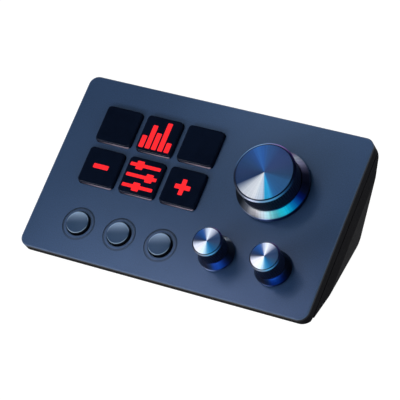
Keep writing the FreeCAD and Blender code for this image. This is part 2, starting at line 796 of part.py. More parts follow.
def board(name, x, y, width, length, top, corner, holes):
    body = new_body(name)
    outline = new_sketch(body, f"{name}_outline", lift=top)
    rounded_rectangle(outline, x, y, width, length, corner)
    for hole_x, hole_y in holes:
        circle(outline, hole_x, hole_y, S.board_screw_radius + S.screw_fit * 3)
    extrude(body, "Pad", outline, S.board_thick, reverse=True)
    return place(keep(name, body))


def boards():
    board("main_board", ZERO, (BOARD_REAR_Y + BOARD_FRONT_Y) / 2, BOARD_WIDTH,
          BOARD_REAR_Y - BOARD_FRONT_Y, BOARD_TOP, S.board_corner, BOARD_SCREWS)
    board("port_board", ZERO, PORT_BOARD_REAR - S.port_board_long / 2, S.port_board_width,
          S.port_board_long, PORT_BOARD_TOP, S.board_corner / 2, [])
    link_y = PORT_BOARD_REAR - S.port_board_long / 2
    link = block("board_link", (-S.link_width / 2, S.link_width / 2),
                 (link_y - S.link_long / 2, link_y + S.link_long / 2), (PORT_BOARD_TOP, BOARD_UNDER))
    lift_onto_plate("board_link", link)


def lift_onto_plate(node, shape):
    """Tilt a box or cylinder that already has a place of its own in the plate's frame."""
    return place(keep(node, group(f"{node}_placed", [shape])))


def display():
    body = new_body("display_panel")
    outline = new_sketch(body, "display_outline", lift=DISPLAY_TOP)
    rounded_rectangle(outline, KEYS_X, KEYS_Y, GUIDE_WIDTH - S.display_inset * 2,
                      GUIDE_LENGTH - S.display_inset * 2, S.key_corner)
    extrude(body, "Pad", outline, S.display_thick, reverse=True)
    place(keep("display_panel", body))
    ribbon = new_body("display_ribbon")
    loop = new_sketch(ribbon, "ribbon_loop", "YZ_Plane")
    start_y = KEYS_Y + GUIDE_LENGTH / 2 - S.display_inset
    turn_y = BOARD_REAR_Y + S.ribbon_thick
    upper_z = DISPLAY_TOP - S.display_thick / 2
    lower_z = BOARD_UNDER - S.ribbon_socket_tall / 2
    tail_y = BOARD_REAR_Y - S.ribbon_tail
    thick = S.ribbon_thick
    polygon(loop, [(start_y, upper_z), (turn_y + thick, upper_z), (turn_y + thick, lower_z - thick),
                   (tail_y, lower_z - thick), (tail_y, lower_z), (turn_y, lower_z),
                   (turn_y, upper_z - thick), (start_y, upper_z - thick)])
    extrude(ribbon, "Pad", loop, S.ribbon_width, both_ways=True)
    place(keep("display_ribbon", ribbon), KEYS_X)
    socket = block("ribbon_clip", (KEYS_X - S.ribbon_width / 2, KEYS_X + S.ribbon_width / 2),
                   (tail_y - S.ribbon_socket_long, tail_y),
                   (BOARD_UNDER - S.ribbon_socket_tall, BOARD_UNDER))
    lift_onto_plate("ribbon_socket", socket)


def usb_socket():
    """A rounded metal shell with a tongue inside it, its mouth level with the recess's floor."""
    body = new_body("usb_socket")
    shell = new_sketch(body, "socket_outline", "XZ_Plane", lift=-RECESS_FLOOR_Y)
    rounded_rectangle(shell, ZERO, SOCKET_MIDDLE, S.socket_width, S.socket_tall, S.socket_round)
    extrude(body, "Pad", shell, S.socket_long)
    mouth = new_sketch(body, "socket_mouth", "XZ_Plane", lift=-RECESS_FLOOR_Y)
    rounded_rectangle(mouth, ZERO, SOCKET_MIDDLE, S.socket_width - S.socket_shell * 2,
                      S.socket_tall - S.socket_shell * 2, S.socket_round - S.socket_shell)
    extrude(body, "Pocket", mouth, S.socket_long - S.socket_back, reverse=True)
    tongue = new_sketch(body, "socket_tongue", "XZ_Plane",
                        lift=-RECESS_FLOOR_Y + S.tongue_inset)
    rounded_rectangle(tongue, ZERO, SOCKET_MIDDLE, S.tongue_width, S.tongue_thick,
                      S.tongue_thick * TONGUE_ROUND_SHARE)
    extrude(body, "Pad", tongue, S.socket_long - S.tongue_inset - S.socket_back / 2)
    return place(keep("usb_socket", body))


# Display keys

def key_guide():
    """A grid under the plate that keeps the six caps square, and the soft pad under it."""
    for name, top, bottom, margin in (("key_guide", PLATE_UNDER, PAD_TOP, S.key_gap),
                                      ("key_pad", PAD_TOP, DISPLAY_TOP, -S.pad_lip)):
        body = new_body(name)
        outline = new_sketch(body, f"{name}_outline", lift=top)
        rounded_rectangle(outline, KEYS_X, KEYS_Y, GUIDE_WIDTH, GUIDE_LENGTH, S.key_corner)
        for x, y in KEY_PLACES:
            rounded_rectangle(outline, x, y, FLANGE_WIDTH + margin * 2, FLANGE_LENGTH + margin * 2,
                              S.key_corner)
        extrude(body, "Pad", outline, top - bottom, reverse=True)
        place(keep(name, body))


def key_cap(number, x, y):
    name = f"key_{number}_cap"
    body = new_body(name)
    block_outline = new_sketch(body, f"{name}_outline", lift=KEY_UNDER)
    rounded_rectangle(block_outline, ZERO, ZERO, S.key_width, S.key_length, S.key_corner)
    prism = extrude(body, "Pad", block_outline, S.key_proud - KEY_UNDER)
    dress(body, "Chamfer", prism, S.key_bevel, at_height(S.key_proud))
    flange = new_sketch(body, f"{name}_flange", lift=KEY_UNDER)
    rounded_rectangle(flange, ZERO, ZERO, FLANGE_WIDTH, FLANGE_LENGTH, S.key_corner)
    extrude(body, "Pad", flange, S.key_flange_thick)
    return place(keep(name, body), x, y)


# Round buttons

def button(number, x, y):
    collar = new_body(f"button_{number}_collar")
    revolve(collar, f"collar_{number}", [
        (S.collar_inner, COLLAR_UNDER), (S.collar_outer + S.collar_lip, COLLAR_UNDER),
        (S.collar_outer + S.collar_lip, PLATE_UNDER), (S.collar_outer, PLATE_UNDER),
        (S.collar_outer, -S.collar_edge), (S.collar_outer - S.collar_edge, ZERO),
        (S.collar_inner + S.collar_edge, ZERO), (S.collar_inner, -S.collar_edge)])
    place(keep(f"button_{number}_collar", collar), x, y)
    cap = new_body(f"button_{number}_cap")
    wall_top = S.button_proud - S.button_dome_rise
    turned = revolve(cap, f"cap_{number}", [
        (ZERO, STEM_END), (S.button_stem_radius, STEM_END),
        (S.button_stem_radius, BUTTON_FLANGE_UNDER),
        (S.button_radius + S.button_flange, BUTTON_FLANGE_UNDER),
        (S.button_radius + S.button_flange, BUTTON_FLANGE_TOP),
        (S.button_radius, BUTTON_FLANGE_TOP), (S.button_radius, wall_top),
        (ZERO, S.button_proud)], crown=True)
    dress(cap, "Fillet", turned, S.button_edge_round, at_height(wall_top))
    place(keep(f"button_{number}_cap", cap), x, y)
    plunger = cylinder(f"button_{number}_actuator", S.button_plunger_radius, PLUNGER_END,
                       STEM_END, x, y)
    lift_onto_plate(f"button_{number}_plunger", plunger)


def button_switch(number, x, y):
    half = S.switch_side / 2
    case = block(f"switch_{number}_case", (x - half, x + half), (y - half, y + half),
                 (BOARD_TOP, SWITCH_TOP))
    well = cylinder(f"switch_{number}_well", S.switch_hole, BOARD_TOP + S.switch_floor,
                    SWITCH_TOP + S.overrun, x, y)
    return place(keep(f"button_{number}_switch", cut(f"switch_{number}", case, well)))


# Encoders

def encoder(name, x, y):
    body = new_body(f"{name}_encoder")
    square = new_sketch(body, f"{name}_encoder_square", lift=BOARD_TOP)
    rounded_rectangle(square, ZERO, ZERO, S.encoder_side, S.encoder_side, S.encoder_corner)
    extrude(body, "Pad", square, PLATE_UNDER - BOARD_TOP)
    bush = new_sketch(body, f"{name}_encoder_bush", lift=BOARD_TOP)
    circle(bush, ZERO, ZERO, S.bush_radius)
    extrude(body, "Pad", bush, S.bush_top - BOARD_TOP)
    bore = new_sketch(body, f"{name}_encoder_bore", lift=BOARD_TOP + S.encoder_floor)
    circle(bore, ZERO, ZERO, S.shaft_radius + S.shaft_gap)
    extrude(body, "Pocket", bore, S.bush_top - BOARD_TOP, reverse=True)
    place(keep(f"{name}_encoder", body), x, y)


def washers_and_nuts():
    washers, nuts = [], []
    for name, (x, y) in KNOB_PLACES.items():
        disc = cylinder(f"{name}_washer_disc", S.washer_radius, ZERO, S.washer_thick, x, y)
        hole = cylinder(f"{name}_washer_hole", S.bush_radius + S.screw_fit, -S.overrun,
                        S.washer_thick + S.overrun, x, y)
        washers.append(cut(f"{name}_washer", disc, hole))
        prism = doc.addObject("Part::Prism", f"{name}_nut_prism")
        bind(prism, "Circumradius", S.nut_flats / 2 / cosine(HALF_FLAT_ANGLE))
        bind(prism, "Height", S.nut_tall)
        bind(prism, "Placement.Base.x", x)
        bind(prism, "Placement.Base.y", y)
        bind(prism, "Placement.Base.z", S.washer_thick)
        thread = cylinder(f"{name}_nut_thread", S.bush_radius + S.screw_fit, ZERO,
                          S.washer_thick + S.nut_tall + S.overrun, x, y)
        nuts.append(cut(f"{name}_nut", prism, thread))
    place(keep("encoder_washers", group("encoder_washers", washers)))
    place(keep("encoder_nuts", group("encoder_nuts", nuts)))


def encoder_plunger(name, x, y):
    disc = cylinder(f"{name}_plunger_disc", S.plunger_radius, PUSHER_BOTTOM,
                    PUSHER_BOTTOM + S.plunger_thick, x, y)
    lift_onto_plate(f"{name}_plunger", disc)


# Knobs

def shaft(name, x, y):
    """A round shaft with a flat on the length that the knob sits on."""
    body = new_body(f"{name}_shaft")
    round_bar = new_sketch(body, f"{name}_shaft_round", lift=SHAFT_FOOT)
    circle(round_bar, ZERO, ZERO, S.shaft_radius)
    extrude(body, "Pad", round_bar, S.shaft_top - SHAFT_FOOT)
    flat = new_sketch(body, f"{name}_shaft_flat", lift=S.shaft_top)
    outside = S.shaft_radius + S.overrun
    polygon(flat, [(-outside, S.shaft_flat), (outside, S.shaft_flat), (outside, outside),
                   (-outside, outside)])
    extrude(body, "Pocket", flat, S.shaft_top - HUB_BOTTOM)
    place(keep(f"{name}_shaft", body), x, y)


def hub(name, x, y, corners):
    """The plastic insert of a knob: a turned form with a bore that has the shaft's flat."""
    body = new_body(f"{name}_insert")
    revolve(body, f"{name}_insert", corners)
    key = new_sketch(body, f"{name}_insert_key", lift=HUB_BOTTOM)
    reach = S.shaft_radius + (S.hub_radius - S.shaft_radius) / 2
    fit = S.shaft_flat + S.shaft_gap
    half = reach * INSERT_KEY_SHARE
    polygon(key, [(-half, fit), (half, fit), (half, reach), (-half, reach)])
    extrude(body, "Pad", key, S.shaft_top - HUB_BOTTOM)
    place(keep(f"{name}_insert", body), x, y)


def knurl(body, name, radius, depth, bottom, top, count):
    """Shallow upright grooves all round a grip."""
    groove = new_sketch(body, f"{name}_knurl", lift=bottom)
    outer = radius + depth
    polygon(groove, [(radius - depth, ZERO), (outer, -depth * 2), (outer, depth * 2)])
    pocket = extrude(body, "Pocket", groove, top - bottom, reverse=True)
    pattern = body.newObject("PartDesign::PolarPattern", f"{name}_knurls")
    pattern.Originals = [pocket]
    pattern.Axis = (origin_part(body, "Z_Axis"), [""])
    pattern.Angle = FULL_TURN
    bind(pattern, "Occurrences", count)
    body.Tip = pattern


def spun_disc(name, plug, heights, radius, face, edge):
    """A disc with a plug below, a bevelled rim and a fine groove between the rim and the face."""
    under, seat, top = heights
    lip = face + S.disc_groove_width
    body = new_body(f"{name}_disc")
    revolve(body, f"{name}_disc", [
        (ZERO, under), (plug, under), (plug, seat), (radius, seat), (radius, seat + edge),
        (lip, top - S.disc_rim_drop), (lip, top - S.disc_groove_depth),
        (face, top - S.disc_groove_depth), (face, top), (ZERO, top)])
    place(keep(f"{name}_disc", body), *KNOB_PLACES[name])


def main_knob():
    x, y = KNOB_PLACES["main"]
    bore = S.shaft_radius + S.shaft_gap
    top, web = S.main_insert_top, S.main_insert_top - S.insert_web
    inner = S.main_grip_inner
    hub("main", x, y, [
        (bore, HUB_BOTTOM), (S.hub_radius, HUB_BOTTOM), (S.hub_radius, web),
        (inner - S.insert_wall, web), (inner - S.insert_wall, KNOB_LIFT + S.insert_wall),
        (inner, KNOB_LIFT + S.insert_wall), (inner, top), (bore, top)])
    skirt = new_body("main_skirt")
    revolve(skirt, "main_skirt", [
        (inner, KNOB_LIFT), (S.main_skirt_radius, KNOB_LIFT),
        (S.main_skirt_radius, S.main_skirt_foot), (S.main_skirt_neck, S.main_skirt_top),
        (inner, S.main_skirt_top)])
    place(keep("main_skirt", skirt), x, y)
    grip = new_body("main_grip")
    revolve(grip, "main_grip", [
        (inner, S.main_skirt_top), (S.main_grip_radius, S.main_skirt_top),
        (S.main_grip_radius, S.main_grip_top), (inner, S.main_grip_top)])
    margin = S.main_knurl_depth * 2
    knurl(grip, "main", S.main_grip_radius, S.main_knurl_depth, S.main_skirt_top + margin,
          S.main_grip_top - margin, S.main_knurl_count)
    place(keep("main_grip", grip), x, y)
    spun_disc("main", inner, (top, S.main_grip_top, S.main_disc_top), S.main_disc_radius,
              S.main_disc_face, S.main_disc_edge)


def small_knob(name):
    x, y = KNOB_PLACES[name]
    bore = S.shaft_radius + S.shaft_gap
    top = S.small_grip_top - S.small_disc_plug
    hub(name, x, y, [(bore, HUB_BOTTOM), (S.hub_radius, HUB_BOTTOM), (S.hub_radius, top),
                     (bore, top)])
    grip = new_body(f"{name}_grip")
    revolve(grip, f"{name}_grip", [
        (S.knob_hollow, KNOB_LIFT), (S.small_skirt_radius, KNOB_LIFT),
        (S.small_skirt_radius, S.small_skirt_foot), (S.small_skirt_neck, S.small_skirt_top),
        (S.small_grip_radius, S.small_skirt_top), (S.small_grip_radius, S.small_grip_top),
        (S.hub_radius + S.small_disc_plug, S.small_grip_top), (S.hub_radius + S.small_disc_plug, top),
        (S.hub_radius, top), (S.hub_radius, HUB_BOTTOM), (S.knob_hollow, HUB_BOTTOM)])
    margin = S.small_knurl_depth * 2
    knurl(grip, name, S.small_grip_radius, S.small_knurl_depth, S.small_skirt_top + margin,
          S.small_grip_top - margin, S.small_knurl_count)
    place(keep(f"{name}_grip", grip), x, y)
    spun_disc(name, S.hub_radius + S.small_disc_plug, (top, S.small_grip_top, S.small_disc_top),
              S.small_disc_radius, S.small_disc_face, S.small_disc_edge)


def check_and_export():
    """Stop on any failed object, then write one file for each sub-part."""
    doc.recompute()
    for item in doc.Objects:
        if "Invalid" in item.State or "Error" in item.State:
            raise RuntimeError(f"{item.Name} failed: {item.State}")
    for node, item in pieces.items():
        if item.Shape.isNull() or not item.Shape.isValid() or not item.Shape.Solids:
            raise RuntimeError(f"{node} has no valid shape")
    os.makedirs("parts", exist_ok=True)
    whole = FreeCAD.BoundBox()
    for node, item in pieces.items():
        item.Shape.exportStep(f"parts/{node}.step")
        whole.add(item.Shape.BoundBox)
    print(f"{len(pieces)} nodes, box {whole}")


faceplate()
upper_housing()
lower_housing()
foot("front")
foot("rear")
screws()
boards()
display()
usb_socket()
key_guide()
for number, spot in enumerate(KEY_PLACES, start=1):
    key_cap(number, *spot)
for number, spot in enumerate(BUTTON_PLACES, start=1):
    button(number, *spot)
    button_switch(number, *spot)
for knob, spot in KNOB_PLACES.items():
    encoder(knob, *spot)
    encoder_plunger(knob, *spot)
    shaft(knob, *spot)
washers_and_nuts()
main_knob()
small_knob("left")
small_knob("right")
check_and_export()
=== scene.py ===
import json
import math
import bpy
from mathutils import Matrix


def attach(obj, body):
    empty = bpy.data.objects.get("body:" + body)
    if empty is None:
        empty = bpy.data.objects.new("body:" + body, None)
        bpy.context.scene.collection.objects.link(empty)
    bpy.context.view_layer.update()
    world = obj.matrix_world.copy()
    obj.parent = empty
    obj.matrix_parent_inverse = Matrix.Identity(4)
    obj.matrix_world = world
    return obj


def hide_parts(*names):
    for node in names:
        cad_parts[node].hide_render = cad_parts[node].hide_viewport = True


bl_info = {
    "name": "Macro keypad with knobs",
    "version": (1, 0, 0),
    "blender": (4, 5, 0),
    "location": "3D View > Sidebar > Keypad",
    "description": "Dresses the packed keypad: caps, domes, knobs, finishes and a small studio",
    "category": "Object",
}

import bmesh
import bpy
from bpy.props import FloatProperty, FloatVectorProperty, IntProperty, PointerProperty
from bpy.types import Operator, Panel, PropertyGroup
from mathutils import Matrix, Vector

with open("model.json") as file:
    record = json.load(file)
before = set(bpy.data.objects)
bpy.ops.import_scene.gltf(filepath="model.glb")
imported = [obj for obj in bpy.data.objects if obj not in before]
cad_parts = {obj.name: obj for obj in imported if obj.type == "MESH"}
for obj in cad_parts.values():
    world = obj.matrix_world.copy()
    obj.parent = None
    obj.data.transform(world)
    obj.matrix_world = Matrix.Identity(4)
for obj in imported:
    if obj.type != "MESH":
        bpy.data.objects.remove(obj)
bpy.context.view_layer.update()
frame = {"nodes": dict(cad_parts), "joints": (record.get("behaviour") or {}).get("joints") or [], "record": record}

MM = 0.001
FULL_TURN = 2 * math.pi
KNOBS = ("main", "left", "right")
KEYS = range(1, 7)
BUTTONS = range(1, 4)


# Where things are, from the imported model

def plate_tilt():
    """The plate's lean, from the axis that its knobs turn about."""
    hinge = next(joint for joint in frame["joints"] if joint["type"] == "hinge")
    out = Vector(hinge["axis"])
    return math.atan2(-out.y, out.z)


TILT = plate_tilt()


def turned_box(node, origin=Vector((0, 0, 0))):
    """A node's lowest and highest corners, measured along the plate's own directions."""
    level = Matrix.Rotation(-TILT, 3, "X")
    points = [level @ vertex.co - origin for vertex in frame["nodes"][node].data.vertices]
    return (Vector(min(point[axis] for point in points) for axis in range(3)),
            Vector(max(point[axis] for point in points) for axis in range(3)))


def middle_of_plate():
    """The middle of the plate's top face, in the plate's own directions."""
    low, high = turned_box("faceplate")
    return Vector(((low.x + high.x) / 2, (low.y + high.y) / 2, high.z))


LEVEL_ORIGIN = middle_of_plate()
ORIGIN = Matrix.Rotation(TILT, 3, "X") @ LEVEL_ORIGIN
TO_ROW = Matrix.Translation(ORIGIN) @ Matrix.Rotation(TILT, 4, "X")


def on_plate(node):
    """A node's lowest and highest corners in the plate's frame: x right, y up the plate, z out."""
    return turned_box(node, LEVEL_ORIGIN)


def middle(node):
    """The middle of a node's box, in the plate's frame."""
    low, high = on_plate(node)
    return (low + high) / 2


def foot_of(node):
    """The point on the plate's top face that a node stands over."""
    spot = middle(node)
    spot.z = 0.0
    return spot


# Sizes and colours

def length(name, description, value):
    """A size, given in millimetres and kept in metres."""
    return FloatProperty(name=name, description=description, default=value * MM, unit="LENGTH",
                         precision=5)


def share(name, description, value, top=1.0):
    """A plain number from nothing up to a top value."""
    return FloatProperty(name=name, description=description, default=value, min=0.0, max=top)


def colour(name, description, value):
    """A linear colour."""
    return FloatVectorProperty(name=name, description=description, default=value, size=3,
                               min=0.0, max=1.0, subtype="COLOR")


def watts(name, description, value):
    """The power of a lamp."""
    return FloatProperty(name=name, description=description, default=value, min=0.0)


class KeySizes(PropertyGroup):
    """The display keys' caps and their lit signs."""

    corner: length("Corner", "Radius of the cap's upright corners", 1.6)
    bevel: length("Bevel", "Width of the slope round the cap's top", 0.5)
    flange: length("Flange", "How far the flange under the plate stands out", 0.5)
    flange_thick: length("Flange thickness", "Thickness of the flange under the plate", 1.0)
    picture_lift: length("Picture lift", "How far the lit signs stand over the cap", 0.02)
    sign_corner: length("Sign corner", "Radius of the corners of the signs' bars", 0.35)
    glow: share("Glow", "Strength of the lit signs", 1.0, 10.0)
    cap_colour: colour("Cap", "Colour of the dark clear caps", (0.0065, 0.0115, 0.0270))
    lit_colour: colour("Lit signs", "Colour of the lit signs", (1.0, 0.024, 0.031))
    # Painted highlight along the foot of each cap's front wall: its colour, and the height up to which it is full
    foot_highlight_colour: colour("Foot line", "Colour of the thin line under the caps' front",
                        (0.75, 0.58, 0.66))
    foot_highlight: length("Foot line height", "Height up to which that line is full", 0.72)


class ButtonSizes(PropertyGroup):
    """The round buttons' domes."""

    radius: length("Radius", "Radius of the dome", 4.8)
    wall_top: length("Wall top", "Height at which the wall starts to round over", 1.13)
    edge: length("Edge", "Radius of the rounding at the dome's edge", 0.45)
    flange: length("Flange", "How far the flange under the plate stands out", 0.8)
    flange_thick: length("Flange thickness", "Thickness of the flange", 0.6)
    flange_gap: length("Flange gap", "Gap between the flange and the collar over it", 0.3)
    stem: length("Stem", "Radius of the stem", 1.7)
    dome_colour: colour("Dome", "Colour of the domes", (0.040, 0.085, 0.165))
    # The lit dome and lip colours are painted highlights, on the rear half and along the front lip
    lit_colour: colour("Lit dome", "Colour of the domes' rear half", (0.560, 0.720, 0.920))
    lip_highlight_colour: colour("Lip", "Colour of the domes' front lip", (0.350, 0.480, 0.600))


class LargeKnobSizes(PropertyGroup):
    """The large knob's disc, grip and skirt."""

    lift: length("Lift", "Height of the skirt's underside over the plate", 0.8)
    hollow: length("Hollow", "Radius of the hollow inside the skirt and grip", 11.0)
    skirt: length("Skirt", "Radius of the skirt's foot", 15.2)
    foot_top: length("Foot top", "Height of the skirt's upright foot", 2.6)
    neck: length("Neck", "Radius at the top of the skirt", 12.8)
    skirt_top: length("Skirt top", "Height of the skirt", 5.2)
    grip: length("Grip", "Radius over the ribs", 12.5)
    grip_top: length("Grip top", "Height of the grip", 13.0)
    rib_depth: length("Rib depth", "Depth of the grooves between the ribs", 0.25)
    ribs: IntProperty(name="Ribs", description="Number of ribs round the grip", default=72, min=12)
    disc: length("Disc", "Radius of the disc", 12.7)
    rim: length("Rim", "Height of the disc's upright edge", 0.35)
    face: length("Face", "Radius of the flat face", 11.7)
    face_top: length("Face height", "Height of the flat face", 14.0)
    plug: length("Plug", "Radius of the disc's plug inside the grip", 11.0)
    plug_under: length("Plug underside", "Height of the plug's underside", 11.9)


class SmallKnobSizes(PropertyGroup):
    """The small knobs' discs and their grips with a flare."""

    lift: length("Lift", "Height of the skirt's underside over the plate", 0.8)
    hollow: length("Hollow", "Radius of the hollow inside the grip", 5.7)
    skirt: length("Skirt", "Radius of the skirt's foot", 7.6)
    foot_top: length("Foot top", "Height of the skirt's upright foot", 1.5)
    neck: length("Neck", "Radius at the top of the skirt", 6.2)
    skirt_top: length("Skirt top", "Height of the skirt", 5.0)
    grip: length("Grip", "Radius over the ribs", 6.0)
    grip_top: length("Grip top", "Height of the grip", 12.3)
    rib_depth: length("Rib depth", "Depth of the grooves between the ribs", 0.28)
    ribs: IntProperty(name="Ribs", description="Number of ribs round the grip", default=40, min=12)
    disc: length("Disc", "Radius of the disc", 6.15)
    rim: length("Rim", "Height of the disc's upright edge", 0.3)
    face: length("Face", "Radius of the flat face", 5.55)
    face_top: length("Face height", "Height of the flat face", 13.2)
    plug: length("Plug", "Radius of the disc's plug inside the grip", 5.3)
    plug_under: length("Plug underside", "Height of the plug's underside", 11.6)
    hub: length("Hub", "Radius of the hub in the grip", 4.6)
    hub_under: length("Hub underside", "Height of the hub's underside", 3.4)


class CaseFinish(PropertyGroup):
    """Colours of the plate, the case and the feet."""

    plate_colour: colour("Plate", "Colour of the anodised plate", (0.047, 0.100, 0.215))
    # Painted highlight on the plate's chamfered edge
    edge_highlight_colour: colour("Plate edge", "Colour of the cut edge of the plate", (0.075, 0.130, 0.235))
    # Painted shade on the plate's upright edge
    wall_colour: colour("Plate wall", "Colour of the plate's upright edge", (0.004, 0.005, 0.010))
    case_colour: colour("Case", "Colour of the moulded case", (0.0012, 0.0009, 0.0026))
    rubber_colour: colour("Feet", "Colour of the rubber feet", (0.012, 0.012, 0.013))
    grain: length("Grain", "Size of the plate's fine grain", 0.42)


class StudioSettings(PropertyGroup):
    """Light, floor and lens."""

    world: share("World", "Strength of the light from all round", 1.40, 10.0)
    sky_colour: colour("Sky", "Colour of the light from overhead", (0.0, 0.0, 0.0))
    horizon_colour: colour("Horizon", "Colour of the light from low down", (0.74, 0.88, 1.0))
    left_pool: watts("Left pool", "Power of the pool of light at the front left", 2.3)
    right_pool: watts("Right pool", "Power of the pool of light at the front right", 2.9)
    rear_pool: watts("Rear pool", "Power of the pool of light at the right rear", 1.9)
    key: watts("Key", "Power of the broad lamp high on the left", 0.14)
    large_catch: watts("Large catch", "Power of the small pool of light on the large knob", 0.3)
    right_catch: watts("Right catch", "Power of the small pool of light on the right knob", 0.3)
    front_strip: watts("Front strip", "Power of the low strip in front", 1.5)
    floor_glow: share("Floor glow", "How much of the floor's white the camera sees by itself", 0.8)
    mirrored_glow: share("Mirrored glow", "The part of that white that metal mirrors", 0.85)
    focal: FloatProperty(name="Focal length", description="Lens of the camera in millimetres",
                         default=184.38, min=20.0)
    floor_colour: colour("Floor", "Colour of the floor", (0.9, 0.9, 0.9))


SETTINGS = {"keypad_keys": KeySizes, "keypad_buttons": ButtonSizes, "keypad_large": LargeKnobSizes,
            "keypad_small": SmallKnobSizes, "keypad_case": CaseFinish,
            "keypad_studio": StudioSettings}


def settings(name):
    """One of the groups of sizes and colours, as the scene holds it."""
    return getattr(bpy.context.scene, name)


# Mesh helpers

def closed_turn(profile, steps):
    """Turn a profile of radius and height about the z axis into a closed form."""
    form = bmesh.new()
    points = [form.verts.new((radius, 0, height)) for radius, height in profile]
    for pair in zip(points, points[1:]):
        form.edges.new(pair)
    if profile[0][0] > 0:
        form.edges.new((points[-1], points[0]))
    bmesh.ops.spin(form, geom=form.verts[:] + form.edges[:], cent=(0, 0, 0), axis=(0, 0, 1),
                   dvec=(0, 0, 0), angle=FULL_TURN, steps=steps, use_merge=True,
                   use_normal_flip=False, use_duplicate=False)
    bmesh.ops.remove_doubles(form, verts=form.verts, dist=1e-7)
    bmesh.ops.recalc_face_normals(form, faces=form.faces)
    return form


def arc(centre, radius, start, end, count):
    """Points of radius and height on an arc, from one angle in degrees to another."""
    angles = [math.radians(start + (end - start) * step / count) for step in range(count + 1)]
    return [(centre[0] + radius * math.cos(angle), centre[1] + radius * math.sin(angle))
            for angle in angles]


def crown(radius, edge_height, rise, count):
    """Points of a shallow dome, from its edge to its middle."""
    ball = (radius * radius + rise * rise) / (2 * rise)
    radii = [radius * (1 - step / count) for step in range(count + 1)]
    return [(reach, edge_height + rise - ball + math.sqrt(ball * ball - reach * reach))
            for reach in radii]


def upright(edge):
    """Whether an edge stands straight up."""
    first, second = edge.verts
    return abs(first.co.x - second.co.x) < 1e-7 and abs(first.co.y - second.co.y) < 1e-7


def bevel(form, edges, offset, segments):
    """Round some edges of a form."""
    bmesh.ops.bevel(form, geom=edges, offset=offset, offset_type="OFFSET", segments=segments,
                    profile=0.5, affect="EDGES", material=-1, clamp_overlap=True)


def rounded_slab(width, depth, corner, bottom, top, segments=6):
    """A block with rounded upright corners, centred on the z axis."""
    form = bmesh.new()
    bmesh.ops.create_cube(form, size=1.0)
    bmesh.ops.scale(form, vec=(width, depth, top - bottom), verts=form.verts)
    bmesh.ops.translate(form, vec=(0, 0, (top + bottom) / 2), verts=form.verts)
    bevel(form, [edge for edge in form.edges if upright(edge)], corner, segments)
    return form


def top_face(form):
    """The highest face, and of several the largest."""
    def rank(face):
        return round(face.calc_center_median().z, 7), face.calc_area()

    return max(form.faces, key=rank)


def polar_map(form):
    """A map whose u is the distance from the axis in metres and whose v is the share of a turn."""
    layer = form.loops.layers.uv.new("Turned")
    for face in form.faces:
        centre = face.calc_center_median()
        base = math.atan2(centre.y, centre.x)
        for loop in face.loops:
            spot = loop.vert.co
            reach = math.hypot(spot.x, spot.y)
            angle = base
            if reach > 1e-6:
                swing = math.atan2(spot.y, spot.x) - base
                angle += math.atan2(math.sin(swing), math.cos(swing))
            loop[layer].uv = (reach, angle / FULL_TURN)


def finish_piece(form, name, body, finish, replaced=(), spot=(0, 0, 0), crisp=32.0):
    """Put a form in its place on the plate, smooth it, dress it and let it ride on its body."""
    bmesh.ops.transform(form, matrix=TO_ROW @ Matrix.Translation(spot), verts=form.verts)
    limit = math.radians(crisp)
    for edge in form.edges:
        edge.smooth = edge.is_manifold and edge.calc_face_angle(0.0) < limit
    for face in form.faces:
        face.smooth = True
    mesh = bpy.data.meshes.new(name)
    form.to_mesh(mesh)
    form.free()
    mesh.materials.append(finish)
    piece = bpy.data.objects.new(name, mesh)
    bpy.context.scene.collection.objects.link(piece)
    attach(piece, body)
    if replaced:
        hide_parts(*replaced)
    return piece


# Finishes

